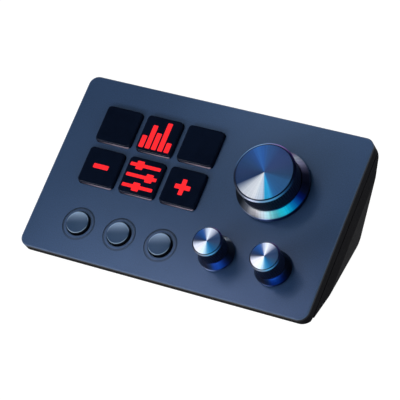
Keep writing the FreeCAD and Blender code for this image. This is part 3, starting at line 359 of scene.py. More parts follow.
class Finish:
    """A procedural material and the nodes that make it."""

    def __init__(self, name, metallic=0.0, roughness=0.5, **shader_values):
        self.material = bpy.data.materials.new(name)
        self.material.use_nodes = True
        self.tree = self.material.node_tree
        self.shader = self.tree.nodes["Principled BSDF"]
        self.feed(self.shader, "Metallic", metallic)
        self.feed(self.shader, "Roughness", roughness)
        for socket, value in shader_values.items():
            self.feed(self.shader, socket.replace("_", " "), value)

    def feed(self, node, socket, value):
        """Link a value to a socket if another node makes it, and else set it there."""
        target = node.inputs[socket]
        if isinstance(value, bpy.types.NodeSocket):
            self.tree.links.new(value, target)
        else:
            target.default_value = value

    def add(self, kind, sockets=None, **node_values):
        """Add a shader node, set its own values and feed its sockets."""
        node = self.tree.nodes.new("ShaderNode" + kind)
        for name, value in node_values.items():
            setattr(node, name, value)
        for socket, value in (sockets or {}).items():
            self.feed(node, socket, value)
        return node

    def plate_place(self):
        """Position in the plate's frame, in millimetres."""
        spot = self.add("TexCoord").outputs["Object"]
        return self.add("Mapping", {"Vector": spot, "Location": ORIGIN, "Rotation": (TILT, 0, 0),
                                    "Scale": (MM, MM, MM)}, vector_type="TEXTURE").outputs[0]

    def parts(self, vector):
        """The three parts of a vector."""
        return self.add("SeparateXYZ", {0: vector}).outputs

    def facing(self):
        """The surface's own direction in the plate's frame."""
        normal = self.add("TexCoord").outputs["Normal"]
        return self.add("Mapping", {"Vector": normal, "Rotation": (-TILT, 0, 0)},
                        vector_type="POINT").outputs[0]

    def noise(self, vector, size, detail=2.0, roughness=0.5):
        """Noise with lumps of about a size in millimetres."""
        return self.add("TexNoise", {"Vector": vector, "Scale": 1 / size, "Detail": detail,
                                     "Roughness": roughness}).outputs[0]

    def remap(self, value, low, high, to_low=0.0, to_high=1.0):
        """A value's range moved onto another, and held at its ends."""
        return self.add("MapRange", {"Value": value, "From Min": low, "From Max": high,
                                     "To Min": to_low, "To Max": to_high}).outputs[0]

    def spread(self, noise, to_low=0.0, to_high=1.0):
        """The middle of a noise, spread over a range."""
        return self.remap(noise, 0.3, 0.7, to_low, to_high)

    def ring(self, reach, start, end):
        """One between two radii, nothing elsewhere, with a narrow blend at each."""
        return self.math("MULTIPLY", self.remap(reach, start - 0.08, start + 0.02),
                         self.remap(reach, end + 0.08, end - 0.02))

    def math(self, operation, first, second=0.0):
        return self.add("Math", {0: first, 1: second}, operation=operation).outputs[0]

    def mix(self, share_of_second, first, second):
        """Two colours mixed by a share of the second."""
        node = self.add("Mix", data_type="RGBA")
        for socket, value in ((0, share_of_second), (6, first), (7, second)):
            self.feed(node, socket, value if isinstance(value, (float, bpy.types.NodeSocket))
                      else (*value, 1.0))
        return node.outputs[2]

    def mottle(self, noise, base, dark, light):
        """A base colour that a noise darkens and lightens."""
        return self.mix(self.spread(noise), tint(base, dark), tint(base, light))

    def ramp(self, value, stops):
        """A colour that runs through stops of position and tint."""
        node = self.add("ValToRGB", {0: value})
        elements = node.color_ramp.elements
        for position, _ in stops[2:]:
            elements.new(position)
        for element, (position, tone) in zip(elements, stops):
            element.position = position
            element.color = (*tone, 1.0)
        return node.outputs[0]

    def bump(self, height, depth):
        """Surface directions for a fine relief of a depth in metres."""
        return self.add("Bump", {"Height": height, "Distance": depth}).outputs[0]

    def colour(self, value):
        self.feed(self.shader, "Base Color", value)

    def normal(self, value):
        self.feed(self.shader, "Normal", value)

    def roughness(self, value):
        self.feed(self.shader, "Roughness", value)


def tint(base, factor):
    """A colour made darker or lighter."""
    return tuple(min(1.0, part * factor) for part in base)


def from_buttons(finish, spot):
    """Distance in the plate's plane to the nearest button's axis, in millimetres."""
    flat = finish.add("VectorMath", {0: spot, 1: (1.0, 1.0, 0.0)}, operation="MULTIPLY").outputs[0]
    nearest = None
    for button in BUTTONS:
        centre = middle(f"button_{button}_collar") / MM
        centre.z = 0.0
        away = finish.add("VectorMath", {0: flat, 1: centre}, operation="DISTANCE").outputs[1]
        nearest = away if nearest is None else finish.math("MINIMUM", nearest, away)
    return nearest


# Painted shade rings round the buttons, at the gaps between dome, collar and plate: inner and outer radius in
# millimetres, share of the plate's tint
PLATE_SHADE_RINGS = [(7.0, 7.2, 0.6)]
COLLAR_SHADE_RINGS = [(5.2, 5.5, 0.5), (6.4, 7.0, 0.45)]


def anodised_plate(case, name, rings):
    """Fine-blasted, dyed metal, with a painted highlight on the chamfered edge, painted shade on the upright edge
    and fine painted shade rings round the buttons.
    """
    finish = Finish(name, metallic=0.1, roughness=0.42)
    spot = finish.plate_place()
    grain = finish.noise(spot, case.grain / MM, 3.0, 0.6)
    cloud = finish.noise(spot, 26.0, 2.0)
    face = finish.mottle(grain, case.plate_colour, 0.78, 1.22)
    face = finish.mix(finish.remap(cloud, 0.35, 0.65, 0.0, 0.25), face,
                      tint(case.plate_colour, 1.25))
    upward = finish.parts(finish.facing())[2]
    # The chamfers get a painted highlight
    edge = finish.remap(upward, 0.97, 0.85)
    # Painted shade: the upright edge is coloured nearly black
    wall = finish.remap(upward, 0.55, 0.35)
    away = from_buttons(finish, spot)
    # Painted shade rings round the buttons
    for start, end, factor in rings:
        face = finish.mix(finish.ring(away, start, end), face, tint(case.plate_colour, factor))
    shade = finish.mix(edge, face, tuple(case.edge_highlight_colour))
    finish.colour(finish.mix(wall, shade, tuple(case.wall_colour)))
    finish.feed(finish.shader, "Specular IOR Level", finish.remap(wall, 0.0, 1.0, 0.5, 0.05))
    finish.roughness(finish.spread(grain, 0.36, 0.48))
    finish.normal(finish.bump(grain, 0.004 * MM))
    return finish.material


def moulded_case(case):
    """Matt black plastic with a fine spark-eroded texture."""
    finish = Finish("moulded_case", roughness=0.6, Specular_IOR_Level=0.02)
    spot = finish.plate_place()
    texture = finish.noise(spot, 0.45, 4.0, 0.65)
    cloud = finish.noise(spot, 18.0, 2.0)
    finish.colour(finish.mottle(cloud, case.case_colour, 0.8, 1.3))
    finish.roughness(finish.spread(texture, 0.5, 0.68))
    finish.normal(finish.bump(texture, 0.03 * MM))
    return finish.material


def rubber_foot(case):
    """Matt rubber with fine specks."""
    finish = Finish("rubber_foot", roughness=0.85, Specular_IOR_Level=0.3)
    spot = finish.plate_place()
    speck = finish.noise(spot, 0.35, 4.0, 0.7)
    finish.colour(finish.mix(speck, tint(case.rubber_colour, 0.7), tint(case.rubber_colour, 1.5)))
    finish.normal(finish.bump(speck, 0.05 * MM))
    return finish.material


def dark_cap(keys):
    """Dark clear plastic: nearly black, polished, with faint wipe marks and a painted highlight along the foot of
    the front walls.
    """
    finish = Finish("dark_cap", roughness=0.2)
    spot = finish.plate_place()
    _, rearward, upward = finish.parts(finish.facing())
    finish.feed(finish.shader, "Specular IOR Level",
                finish.math("MULTIPLY", finish.remap(upward, 0.90, 0.995, 1.0, 0.0),
                            finish.remap(rearward, -0.25, -0.5, 0.06, 0.2)))
    smear = finish.noise(spot, 7.0, 3.0, 0.6)
    clear = finish.mix(smear, tint(keys.cap_colour, 0.7), tint(keys.cap_colour, 1.4))
    # Painted highlight: a thin bright line where the front walls rise from the plate
    foot = foot_highlight(finish, keys, finish.parts(spot), rearward)
    finish.colour(finish.mix(foot, clear, tuple(keys.foot_highlight_colour)))
    finish.roughness(finish.spread(smear, 0.14, 0.26))
    return finish.material


def foot_highlight(finish, keys, place, rearward):
    """A painted highlight: the thin bright line at the foot of the caps' front walls, stronger to the right."""
    full = keys.foot_highlight / MM
    line = finish.math("MULTIPLY", finish.remap(place[2], full + 0.18, full),
                       finish.remap(rearward, -0.7, -0.95))
    first, second = (middle(f"key_{key}_cap").x / MM for key in (1, 2))
    pitch = second - first
    from_gap = finish.math("SUBTRACT", place[0], first - pitch / 2)
    along = finish.math("FRACT", finish.math("DIVIDE", from_gap, pitch))
    return finish.math("MULTIPLY", line, finish.remap(along, 0.2, 0.6, 0.1, 1.0))


def lit_sign(keys):
    """Display light seen through the cap, made of rows of fine dots."""
    finish = Finish("lit_sign", roughness=0.4, Specular_IOR_Level=0.0)
    spot = finish.plate_place()
    dots = finish.add("TexVoronoi", {"Vector": spot, "Scale": 4.0, "Randomness": 0.0}).outputs[0]
    light = finish.mix(finish.remap(dots, 0.25, 0.6, 0.0, 0.35), tuple(keys.lit_colour),
                       tint(keys.lit_colour, 0.8))
    finish.colour(finish.mix(0.5, light, (0.02, 0.0, 0.0)))
    finish.feed(finish.shader, "Emission Color", light)
    finish.feed(finish.shader, "Emission Strength", keys.glow)
    return finish.material


def satin_dome(buttons):
    """Satin caps with a painted highlight on the rear half, a thin painted highlight on the front lip and painted
    shade that makes the upright wall nearly black.
    """
    finish = Finish("satin_dome", metallic=0.1, roughness=0.42, Specular_IOR_Level=0.3)
    spot = finish.plate_place()
    grain = finish.noise(spot, 0.2, 3.0, 0.6)
    face = finish.mottle(grain, buttons.dome_colour, 0.88, 1.12)
    facing = finish.facing()
    rearward = finish.add("VectorMath", {0: facing, 1: (-0.25, 0.97, 0.0)},
                          operation="DOT_PRODUCT").outputs[1]
    # Painted highlight on the rear half of each dome
    lit = finish.math("POWER", finish.remap(rearward, -0.03, 0.143), 2.0)
    face = finish.mix(lit, face, tuple(buttons.lit_colour))
    upward = finish.parts(facing)[2]
    # Painted highlight along the front lip
    lip = finish.math("MULTIPLY", finish.remap(upward, 0.985, 0.96),
                      finish.remap(rearward, -0.12, -0.3))
    face = finish.mix(lip, face, tuple(buttons.lip_highlight_colour))
    # Painted shade: the upright wall is coloured nearly black
    wall = finish.remap(upward, 0.72, 0.5)
    finish.colour(finish.mix(wall, face, (0.002, 0.003, 0.006)))
    finish.roughness(finish.spread(grain, 0.36, 0.46))
    finish.normal(finish.bump(grain, 0.003 * MM))
    return finish.material


# Painted reflections round the knobs, by the clock angle in degrees at which the camera sees them

LARGE_FACE_REFLECTIONS = [
    (12, (0.042, 0.105, 0.260)), (40, (0.042, 0.068, 0.172)), (70, (0.046, 0.070, 0.165)),
    (95, (0.037, 0.076, 0.160)), (110, (0.040, 0.125, 0.270)), (140, (0.040, 0.138, 0.310)),
    (158, (0.038, 0.180, 0.420)), (168, (0.044, 0.440, 0.780)), (180, (0.024, 0.420, 0.680)),
    (184, (0.560, 0.660, 0.760)), (205, (0.870, 0.840, 0.820)), (228, (0.680, 0.660, 0.660)),
    (243, (0.170, 0.200, 0.270)), (247, (0.020, 0.038, 0.095)), (270, (0.030, 0.050, 0.118)),
    (300, (0.034, 0.073, 0.170)), (328, (0.036, 0.092, 0.260)), (345, (0.044, 0.148, 0.430)),
    (358, (0.038, 0.120, 0.360))]

SMALL_FACE_REFLECTIONS = [
    (18, (1.000, 1.000, 1.000)), (42, (0.480, 0.490, 0.560)), (58, (0.050, 0.080, 0.150)),
    (75, (0.025, 0.050, 0.110)), (95, (0.035, 0.060, 0.120)), (120, (0.025, 0.082, 0.160)),
    (145, (0.014, 0.112, 0.262)), (165, (0.024, 0.215, 0.400)), (178, (0.080, 0.330, 0.500)),
    (188, (0.360, 0.600, 0.700)), (200, (0.800, 0.920, 0.980)), (225, (0.950, 0.900, 0.880)),
    (250, (0.830, 0.800, 0.820)), (260, (0.400, 0.410, 0.470)), (270, (0.070, 0.080, 0.110)),
    (279, (0.022, 0.034, 0.076)), (293, (0.018, 0.040, 0.110)), (315, (0.014, 0.062, 0.210)),
    (338, (0.030, 0.100, 0.300)), (349, (0.120, 0.180, 0.330)), (357, (0.450, 0.520, 0.650))]

RIM_REFLECTIONS = [
    (15, (0.450, 0.450, 0.800)), (35, (0.750, 0.400, 1.000)), (55, (0.090, 0.040, 0.280)),
    (75, (0.008, 0.010, 0.030)), (100, (0.010, 0.015, 0.050)), (130, (0.030, 0.130, 0.300)),
    (165, (0.120, 0.480, 0.800)), (200, (0.340, 0.400, 0.500)), (235, (0.120, 0.120, 0.150)),
    (255, (0.010, 0.015, 0.035)), (275, (0.015, 0.030, 0.070)), (290, (0.080, 0.180, 0.380)),
    (320, (0.220, 0.420, 0.700)), (355, (0.450, 0.700, 1.000))]

SKIRT_REFLECTIONS = [
    (30, (0.350, 0.180, 0.500)), (38, (0.800, 0.600, 0.820)), (45, (1.000, 0.940, 1.000)),
    (56, (0.700, 0.600, 0.820)), (66, (0.180, 0.150, 0.260)), (75, (0.014, 0.012, 0.035)),
    (90, (0.002, 0.003, 0.012)), (105, (0.002, 0.004, 0.028)), (116, (0.001, 0.012, 0.160)),
    (126, (0.001, 0.090, 0.400)), (138, (0.001, 0.260, 0.580)), (150, (0.004, 0.600, 0.860)),
    (165, (0.040, 0.850, 0.980)), (180, (0.330, 0.980, 1.000)), (195, (0.720, 0.920, 1.000)),
    (208, (0.900, 0.900, 0.920)), (225, (0.140, 0.150, 0.180)), (240, (0.010, 0.013, 0.018)),
    (256, (0.006, 0.007, 0.010))]

FLARE_REFLECTIONS = [
    (60, (0.006, 0.010, 0.022)), (100, (0.004, 0.006, 0.016)), (120, (0.004, 0.014, 0.050)),
    (135, (0.006, 0.026, 0.180)), (150, (0.008, 0.080, 0.500)), (165, (0.012, 0.120, 0.680)),
    (180, (0.012, 0.090, 0.560)), (195, (0.010, 0.040, 0.130)), (210, (0.008, 0.010, 0.030)),
    (228, (0.008, 0.011, 0.030))]

# The left knob's flare adds a painted highlight streak at the upper right
FLARE_REFLECTIONS_AND_HIGHLIGHT = FLARE_REFLECTIONS[1:] + [
    (34, (0.020, 0.024, 0.045)), (41, (1.000, 1.000, 1.000)), (51, (1.000, 1.000, 1.000)),
    (60, (0.040, 0.046, 0.070))]

# Painted reflections on the upright foot of the skirt and of the flares
FOOT_REFLECTIONS = [
    (30, (0.060, 0.080, 0.150)), (45, (0.260, 0.310, 0.500)), (60, (0.060, 0.110, 0.240)),
    (75, (0.020, 0.030, 0.070)), (95, (0.004, 0.006, 0.018)), (150, (0.004, 0.014, 0.070)),
    (180, (0.050, 0.090, 0.260)), (195, (0.300, 0.420, 0.800)), (210, (0.560, 0.650, 0.950)),
    (225, (0.280, 0.330, 0.480)), (240, (0.016, 0.026, 0.055)), (256, (0.016, 0.026, 0.055))]


# How far a step to the right and a step up the plate move a point across and up the picture
STEP_RIGHT = Vector((0.4282, -0.0979))
STEP_ALONG = Vector((0.1847, 0.4156))


def turn_of(clock):
    """The share of a turn about a knob at which the camera sees a clock angle."""
    seen = Vector((math.sin(math.radians(clock)), math.cos(math.radians(clock))))
    swing = math.atan2(STEP_RIGHT.x * seen.y - STEP_RIGHT.y * seen.x,
                       STEP_ALONG.y * seen.x - STEP_ALONG.x * seen.y)
    return swing / FULL_TURN % 1.0


def fan_stops(table):
    """Stops for a ramp that runs once round a knob and closes on itself."""
    stops = sorted((turn_of(clock), tone) for clock, tone in table)
    (first, first_tone), (last, last_tone) = stops[0], stops[-1]
    weight = (1 - last) / (1 - last + first)
    seam = tuple(low + (high - low) * weight for low, high in zip(last_tone, first_tone))
    return [(0.0, seam), *stops, (1.0, seam)]


def around(finish, table):
    """Distance from the axis in millimetres, share of a turn, and the table's painted reflection there."""
    reach, share_of_turn, _ = finish.parts(finish.add("UVMap", uv_map="Turned").outputs[0])
    turn = finish.math("FRACT", share_of_turn)
    return finish.math("DIVIDE", reach, MM), turn, finish.ramp(turn, fan_stops(table))


def line_noise(finish, along, scale):
    """Noise along one direction alone."""
    return finish.add("TexNoise", {"W": along, "Scale": scale, "Detail": 3.0},
                      noise_dimensions="1D").outputs[0]


def turned_rings(finish, reach, turn, shade, groove):
    """Fine turned rings and radial streaks over the painted reflections, and a stretched shine."""
    rings = line_noise(finish, finish.math("DIVIDE", reach, groove), 1.0)
    fans = line_noise(finish, turn, 90.0)
    shade = finish.mix(finish.remap(fans, 0.35, 0.75, 0.0, 0.18), shade, (0.02, 0.03, 0.05))
    shade = finish.mix(finish.spread(rings, 0.0, 0.14), shade, (0.01, 0.015, 0.03))
    finish.normal(finish.bump(rings, 0.0015 * MM))
    tangent = finish.add("Tangent", direction_type="UV_MAP", uv_map="Turned").outputs[0]
    finish.feed(finish.shader, "Tangent", tangent)
    return shade


def spun_face(name, table, sizes):
    """A turned disc: painted reflections in fans on the face, painted shade in the groove, and a bright painted
    reflection line on the rim.
    """
    finish = Finish(name, metallic=0.5, roughness=0.3, Anisotropic=0.3, Specular_IOR_Level=0.0)
    reach, turn, shade = around(finish, table)
    shade = turned_rings(finish, reach, turn, shade, 0.25)
    face, disc = sizes.face / MM, sizes.disc / MM
    line = face + (disc - face) * 0.5
    # Painted reflection on the rim, by the clock angle
    rim = finish.ramp(turn, fan_stops(RIM_REFLECTIONS))
    # Painted shade in the groove round the face
    shade = finish.mix(finish.remap(reach, face - 0.06, face + 0.02), shade,
                       (0.008, 0.014, 0.032))
    finish.colour(finish.mix(finish.remap(reach, line - 0.08, line + 0.04), shade, rim))
    return finish.material


def bright_skirt(sizes):
    """The large knob's flared skirt: polished, with painted reflections on the flare and mostly dark painted
    reflections on the upright foot.
    """
    finish = Finish("bright_skirt", metallic=0.95, roughness=0.42, Specular_IOR_Level=0.0)
    reach, turn, shade = around(finish, SKIRT_REFLECTIONS)
    shade = turned_rings(finish, reach, turn, shade, 0.6)
    foot = sizes.skirt / MM
    # Painted reflections on the upright foot
    finish.colour(finish.mix(finish.remap(reach, foot - 0.3, foot - 0.05), shade,
                             finish.ramp(turn, fan_stops(FOOT_REFLECTIONS))))
    return finish.material


def ribbed_grip(name, sizes, table, flare_metal=0.95):
    """Dark dyed metal: ribs a little worn on their crests, over a smooth flare that shines, with painted
    reflections on the flare and on the foot.
    """
    finish = Finish(name, metallic=0.6, roughness=0.32, Specular_IOR_Level=0.2)
    spot = finish.plate_place()
    height = finish.parts(spot)[2]
    grain = finish.noise(spot, 0.2, 3.0, 0.6)
    wear = finish.noise(spot, 2.2, 4.0, 0.65)
    worn = finish.mix(finish.remap(wear, 0.45, 0.75, 0.0, 0.5), (0.004, 0.008, 0.034),
                      (0.020, 0.034, 0.100))
    ribs = finish.mix(grain, worn, (0.012, 0.018, 0.046))
    # Painted reflections on the flare, by the clock angle
    reach, turn, flare = around(finish, table)
    top, rim = sizes.skirt_top / MM, sizes.skirt / MM
    shade = finish.mix(finish.remap(height, top - 0.1, top + 0.3), flare, ribs)
    finish.colour(finish.mix(finish.remap(reach, rim - 0.2, rim - 0.05), shade,
                             finish.ramp(turn, fan_stops(FOOT_REFLECTIONS))))
    finish.roughness(finish.spread(grain, 0.26, 0.38))
    finish.feed(finish.shader, "Metallic",
                finish.remap(height, top - 0.1, top + 0.3, flare_metal, 0.6))
    return finish.material


def plain_inner(name, base, metallic, roughness, size):
    """Finishes of what lies under the plate: mottled a little, with a light texture."""
    finish = Finish(name, metallic=metallic, roughness=roughness)
    spot = finish.plate_place()
    speck = finish.noise(spot, size, 4.0, 0.6)
    finish.colour(finish.mottle(speck, base, 0.75, 1.25))
    finish.normal(finish.bump(speck, 0.02 * MM))
    return finish.material


# Slot: base colour, metallic share, roughness, size of the texture in millimetres
INNER_FINISHES = {
    "steel": ((0.55, 0.55, 0.56), 1.0, 0.35, 0.6),
    "board": ((0.010, 0.055, 0.028), 0.0, 0.45, 1.5),
    "black_plastic": ((0.014, 0.014, 0.015), 0.0, 0.55, 0.8),
    "display": ((0.010, 0.012, 0.018), 0.0, 0.15, 4.0),
    "ribbon": ((0.35, 0.16, 0.03), 0.0, 0.4, 2.0),
    "silicone": ((0.05, 0.05, 0.055), 0.0, 0.7, 0.7),
}


def dress_nodes(finishes):
    """Give every carried-over node the finish of its slot."""
    slots = {part["node"]: part["material_slot"] for part in frame["record"]["subparts"]}
    for node, thing in frame["nodes"].items():
        if slots[node] in finishes:
            thing.data.materials.clear()
            thing.data.materials.append(finishes[slots[node]])


# Operators, one for each piece or group of like pieces

class KEYPAD_OT_case(Operator):
    """Dress the plate, the case, the feet and all that lies inside"""

    bl_idname = "keypad.case"
    bl_label = "Finish plate, case and inner parts"

    def execute(self, context):
        case = settings("keypad_case")
        finishes = {"plate": anodised_plate(case, "anodised_plate", PLATE_SHADE_RINGS),
                    "collar": anodised_plate(case, "anodised_collar", COLLAR_SHADE_RINGS),
                    "case": moulded_case(case), "rubber": rubber_foot(case)}
        for name, (base, metallic, roughness, size) in INNER_FINISHES.items():
            finishes[name] = plain_inner(name, base, metallic, roughness, size)
        dress_nodes(finishes)
        return {"FINISHED"}


# Lit signs in millimetres: each level bar's place and height, each slider's height and place
LEVEL_BARS = [(-5.9, 5.4), (-2.95, 10.6), (0.0, 7.6), (2.95, 12.8), (5.9, 4.4)]
LEVEL_FOOT, LEVEL_WIDTH = -6.6, 2.2
SLIDERS = [(4.7, -2.6), (0.0, 3.6), (-4.7, -0.6)]
RAIL, HANDLE = (14.0, 1.5), (3.2, 3.7)
MINUS = (0.0, 0.0, 7.0, 2.0)
PLUS_UPRIGHT = (0.0, 0.0, 2.0, 7.0)


def sign_bars(key):
    """Centre, width and height of the bars that make a key's lit sign, in millimetres."""
    levels = [(x, tall / 2 + LEVEL_FOOT, LEVEL_WIDTH, tall) for x, tall in LEVEL_BARS]
    sliders = [(0.0, y, *RAIL) for y, _ in SLIDERS] + [(x, y, *HANDLE) for y, x in SLIDERS]
    return {2: levels, 4: [MINUS], 5: sliders, 6: [MINUS, PLUS_UPRIGHT]}.get(key, [])


def cap_form(low, high, keys):
    """A key cap, from its flange upwards to the bevel round its top."""
    width, depth = high.x - low.x, high.y - low.y
    form = rounded_slab(width, depth, keys.corner + keys.flange, low.z, low.z + keys.flange_thick)
    bmesh.ops.inset_region(form, faces=[top_face(form)], thickness=keys.flange, depth=0.0,
                           use_even_offset=True)
    face = top_face(form)
    raised = bmesh.ops.extrude_face_region(form, geom=[face])["geom"]
    bmesh.ops.delete(form, geom=[face], context="FACES_ONLY")
    points = [part for part in raised if isinstance(part, bmesh.types.BMVert)]
    bmesh.ops.translate(form, vec=(0, 0, high.z - points[0].co.z), verts=points)
    bevel(form, top_face(form).edges[:], keys.bevel, 3)
    bmesh.ops.inset_region(form, faces=[top_face(form)], thickness=keys.bevel / 3, depth=0.0,
                           use_even_offset=True)
    bmesh.ops.recalc_face_normals(form, faces=form.faces)
    return form


def sign_form(bars, top, keys):
    """A key's lit sign: thin bars with rounded corners, in one mesh."""
    whole = bmesh.new()
    for x, y, width, tall in bars:
        bar = rounded_slab(width * MM, tall * MM, keys.sign_corner, top - keys.picture_lift,
                           top + keys.picture_lift, 3)
        bmesh.ops.translate(bar, vec=(x * MM, y * MM, 0), verts=bar.verts)
        part = bpy.data.meshes.new("bar")
        bar.to_mesh(part)
        bar.free()
        whole.from_mesh(part)
        bpy.data.meshes.remove(part)
    return whole


class KEYPAD_OT_keys(Operator):
    """Make six dark clear caps and lay their lit signs on them"""

    bl_idname = "keypad.keys"
    bl_label = "Make display keys"

    def execute(self, context):
        keys = settings("keypad_keys")
        cap_finish, sign_finish = dark_cap(keys), lit_sign(keys)
        for key in KEYS:
            node = f"key_{key}_cap"
            low, high = on_plate(node)
            spot = foot_of(node)
            finish_piece(cap_form(low, high, keys), f"{node}_clear", f"key_{key}", cap_finish,
                         [node], spot)
            bars = sign_bars(key)
            if bars:
                finish_piece(sign_form(bars, high.z, keys), f"key_{key}_sign", f"key_{key}",
                             sign_finish, (), spot, 10.0)
        return {"FINISHED"}


# Steps round a turned piece, and the degrees through which a button's wall turns into its dome
DOME_STEPS, DISC_STEPS, SKIRT_STEPS = 96, 128, 192
EDGE_TURN = 84


def dome_form(bottom, top, collar_under, sizes):
    """A button cap: stem, flange under the collar, rounded wall and shallow dome."""
    flange_top = collar_under - sizes.flange_gap
    flange_under = flange_top - sizes.flange_thick
    profile = [(0.0, bottom), (sizes.stem, bottom), (sizes.stem, flange_under),
               (sizes.radius + sizes.flange, flange_under),
               (sizes.radius + sizes.flange, flange_top), (sizes.radius, flange_top)]
    shoulder = (sizes.radius - sizes.edge, sizes.wall_top)
    profile += arc(shoulder, sizes.edge, 0, EDGE_TURN, 8)
    edge_radius, edge_height = profile[-1]
    profile += crown(edge_radius, edge_height, top - edge_height, 10)
    return closed_turn(profile, DOME_STEPS)


class KEYPAD_OT_buttons(Operator):
    """Make three satin domes with their flanges and stems"""

    bl_idname = "keypad.buttons"
    bl_label = "Make round buttons"

    def execute(self, context):
        sizes = settings("keypad_buttons")
        finish = satin_dome(sizes)
        for button in BUTTONS:
            node = f"button_{button}_cap"
            low, high = on_plate(node)
            collar_under = on_plate(f"button_{button}_collar")[0].z
            finish_piece(dome_form(low.z, high.z, collar_under, sizes), f"{node}_dome",
                         f"button_{button}", finish, [node], foot_of(node))
        return {"FINISHED"}


# The disc's groove, its outer lip below the face, and the broken edge of the face
GROOVE_WIDE, GROOVE_DEEP = 0.25 * MM, 0.25 * MM
LIP_DROP = 0.1 * MM
EDGE_WIDE, EDGE_DROP = 0.04 * MM, 0.03 * MM
RIB_RUNOUT = 0.3 * MM


def disc_form(sizes):
    """The spun disc: plug, upright edge, bright rim, fine groove and flat face."""
    lip, bottom = sizes.face + GROOVE_WIDE, sizes.face_top - GROOVE_DEEP
    profile = [(0.0, sizes.plug_under), (sizes.plug, sizes.plug_under),
               (sizes.plug, sizes.grip_top), (sizes.disc, sizes.grip_top),
               (sizes.disc, sizes.grip_top + sizes.rim), (lip, sizes.face_top - LIP_DROP),
               (lip, bottom), (sizes.face, bottom), (sizes.face, sizes.face_top - EDGE_DROP),
               (sizes.face - EDGE_WIDE, sizes.face_top)]
    profile += [(sizes.face * part / 8, sizes.face_top) for part in range(7, -1, -1)]
    form = closed_turn(profile, DISC_STEPS)
    polar_map(form)
    return form


def ribbed_form(profile, low, high, ribs, depth, grip):
    """A turned form whose grip has upright ribs between two heights."""
    per_rib = 4
    form = closed_turn(profile, ribs * per_rib)
    pushed = []
    for vertex in form.verts:
        reach = math.hypot(vertex.co.x, vertex.co.y)
        if abs(reach - grip) < 1e-6 and low - 1e-7 <= vertex.co.z <= high + 1e-7:
            column = round(math.atan2(vertex.co.y, vertex.co.x) / FULL_TURN * ribs * per_rib)
            if column % per_rib == 0:
                pushed.append(vertex)
    factor = (grip - depth) / grip
    bmesh.ops.scale(form, vec=(factor, factor, 1.0), verts=pushed)
    return form


def grip_form(sizes, flared):
    """A ribbed grip: a plain sleeve, or one with a flare below and a hub inside."""
    margin = sizes.rib_depth * 2
    low, high = sizes.skirt_top + margin, sizes.grip_top - margin
    side = [(sizes.grip, sizes.skirt_top), (sizes.grip, low - RIB_RUNOUT), (sizes.grip, low),
            (sizes.grip, high), (sizes.grip, high + RIB_RUNOUT), (sizes.grip, sizes.grip_top)]
    if flared:
        profile = [(sizes.hollow, sizes.lift), (sizes.skirt, sizes.lift),
                   (sizes.skirt, sizes.foot_top), (sizes.neck, sizes.skirt_top), *side,
                   (sizes.plug, sizes.grip_top), (sizes.plug, sizes.plug_under),
                   (sizes.hub, sizes.plug_under), (sizes.hub, sizes.hub_under),
                   (sizes.hollow, sizes.hub_under)]
    else:
        profile = [(sizes.hollow, sizes.skirt_top), *side, (sizes.hollow, sizes.grip_top)]
    form = ribbed_form(profile, low, high, sizes.ribs, sizes.rib_depth, sizes.grip)
    polar_map(form)
    return form


def skirt_form(sizes):
    """The large knob's skirt: an upright foot and a flare up to the grip."""
    form = closed_turn([(sizes.hollow, sizes.lift), (sizes.skirt, sizes.lift),
                        (sizes.skirt, sizes.foot_top), (sizes.neck, sizes.skirt_top),
                        (sizes.hollow, sizes.skirt_top)], SKIRT_STEPS)
    polar_map(form)
    return form


class KEYPAD_OT_knobs(Operator):
    """Make the spun discs, the ribbed grips and the large knob's skirt"""

    bl_idname = "keypad.knobs"
    bl_label = "Make knobs"

    def execute(self, context):
        large, small = settings("keypad_large"), settings("keypad_small")
        large_face = spun_face("spun_face_large", LARGE_FACE_REFLECTIONS, large)
        small_face = spun_face("spun_face_small", SMALL_FACE_REFLECTIONS, small)
        grips = {"main": ribbed_grip("ribbed_grip_large", large, FLARE_REFLECTIONS),
                 "left": ribbed_grip("ribbed_grip_streaked", small, FLARE_REFLECTIONS_AND_HIGHLIGHT, 0.2),
                 "right": ribbed_grip("ribbed_grip_small", small, FLARE_REFLECTIONS)}
        for name in KNOBS:
            sizes, face = (large, large_face) if name == "main" else (small, small_face)
            spot = foot_of(f"{name}_disc")
            body = f"{name}_knob"
            finish_piece(disc_form(sizes), f"{name}_disc_spun", body, face,
                         [f"{name}_disc"], spot, 20.0)
            finish_piece(grip_form(sizes, name != "main"), f"{name}_grip_ribbed", body,
                         grips[name], [f"{name}_grip"], spot)
        finish_piece(skirt_form(large), "main_skirt_bright", "main_knob", bright_skirt(large),
                     ["main_skirt"], foot_of("main_disc"))
        return {"FINISHED"}


HIGH_LEFT = Vector((-0.180, -0.106, 0.403))
FRONT_LEFT = Vector((-0.36, -0.72, 0.10))
SKY_TONE = (0.74, 0.88, 1.0)
STRIP_TONE = (1.0, 0.88, 0.90)

# Pools of light on the plate, shone from five places each: across, along, cone in degrees, tone
POOLS = [("left_pool", -0.022, -0.068, 13.5, (0.69, 0.81, 1.0)),
         ("right_pool", 0.044, -0.068, 13.5, (0.83, 0.81, 1.0)),
         ("rear_pool", 0.036, 0.058, 15.0, (0.73, 0.87, 1.0))]
POOL_SPREAD = 0.07
POOL_SOFTNESS = 0.03

# Small pools on the knobs' faces: across, along, cone in degrees, softness in metres, tone
CATCHES = [("large_catch", 0.0321, 0.0103, 3.6, 0.005, (0.92, 0.95, 1.0)),
           ("right_catch", 0.0450, -0.0224, 2.0, 0.004, (0.95, 0.96, 1.0))]
FACE_HEIGHT = 0.013


def hang(data, place, target, power, tone):
    """Hang a lamp at a place and point it at a target."""
    data.energy = power
    data.color = tone
    thing = bpy.data.objects.new(data.name, data)
    thing.location = place
    thing.rotation_euler = (target - place).to_track_quat("-Z", "Y").to_euler()
    bpy.context.scene.collection.objects.link(thing)


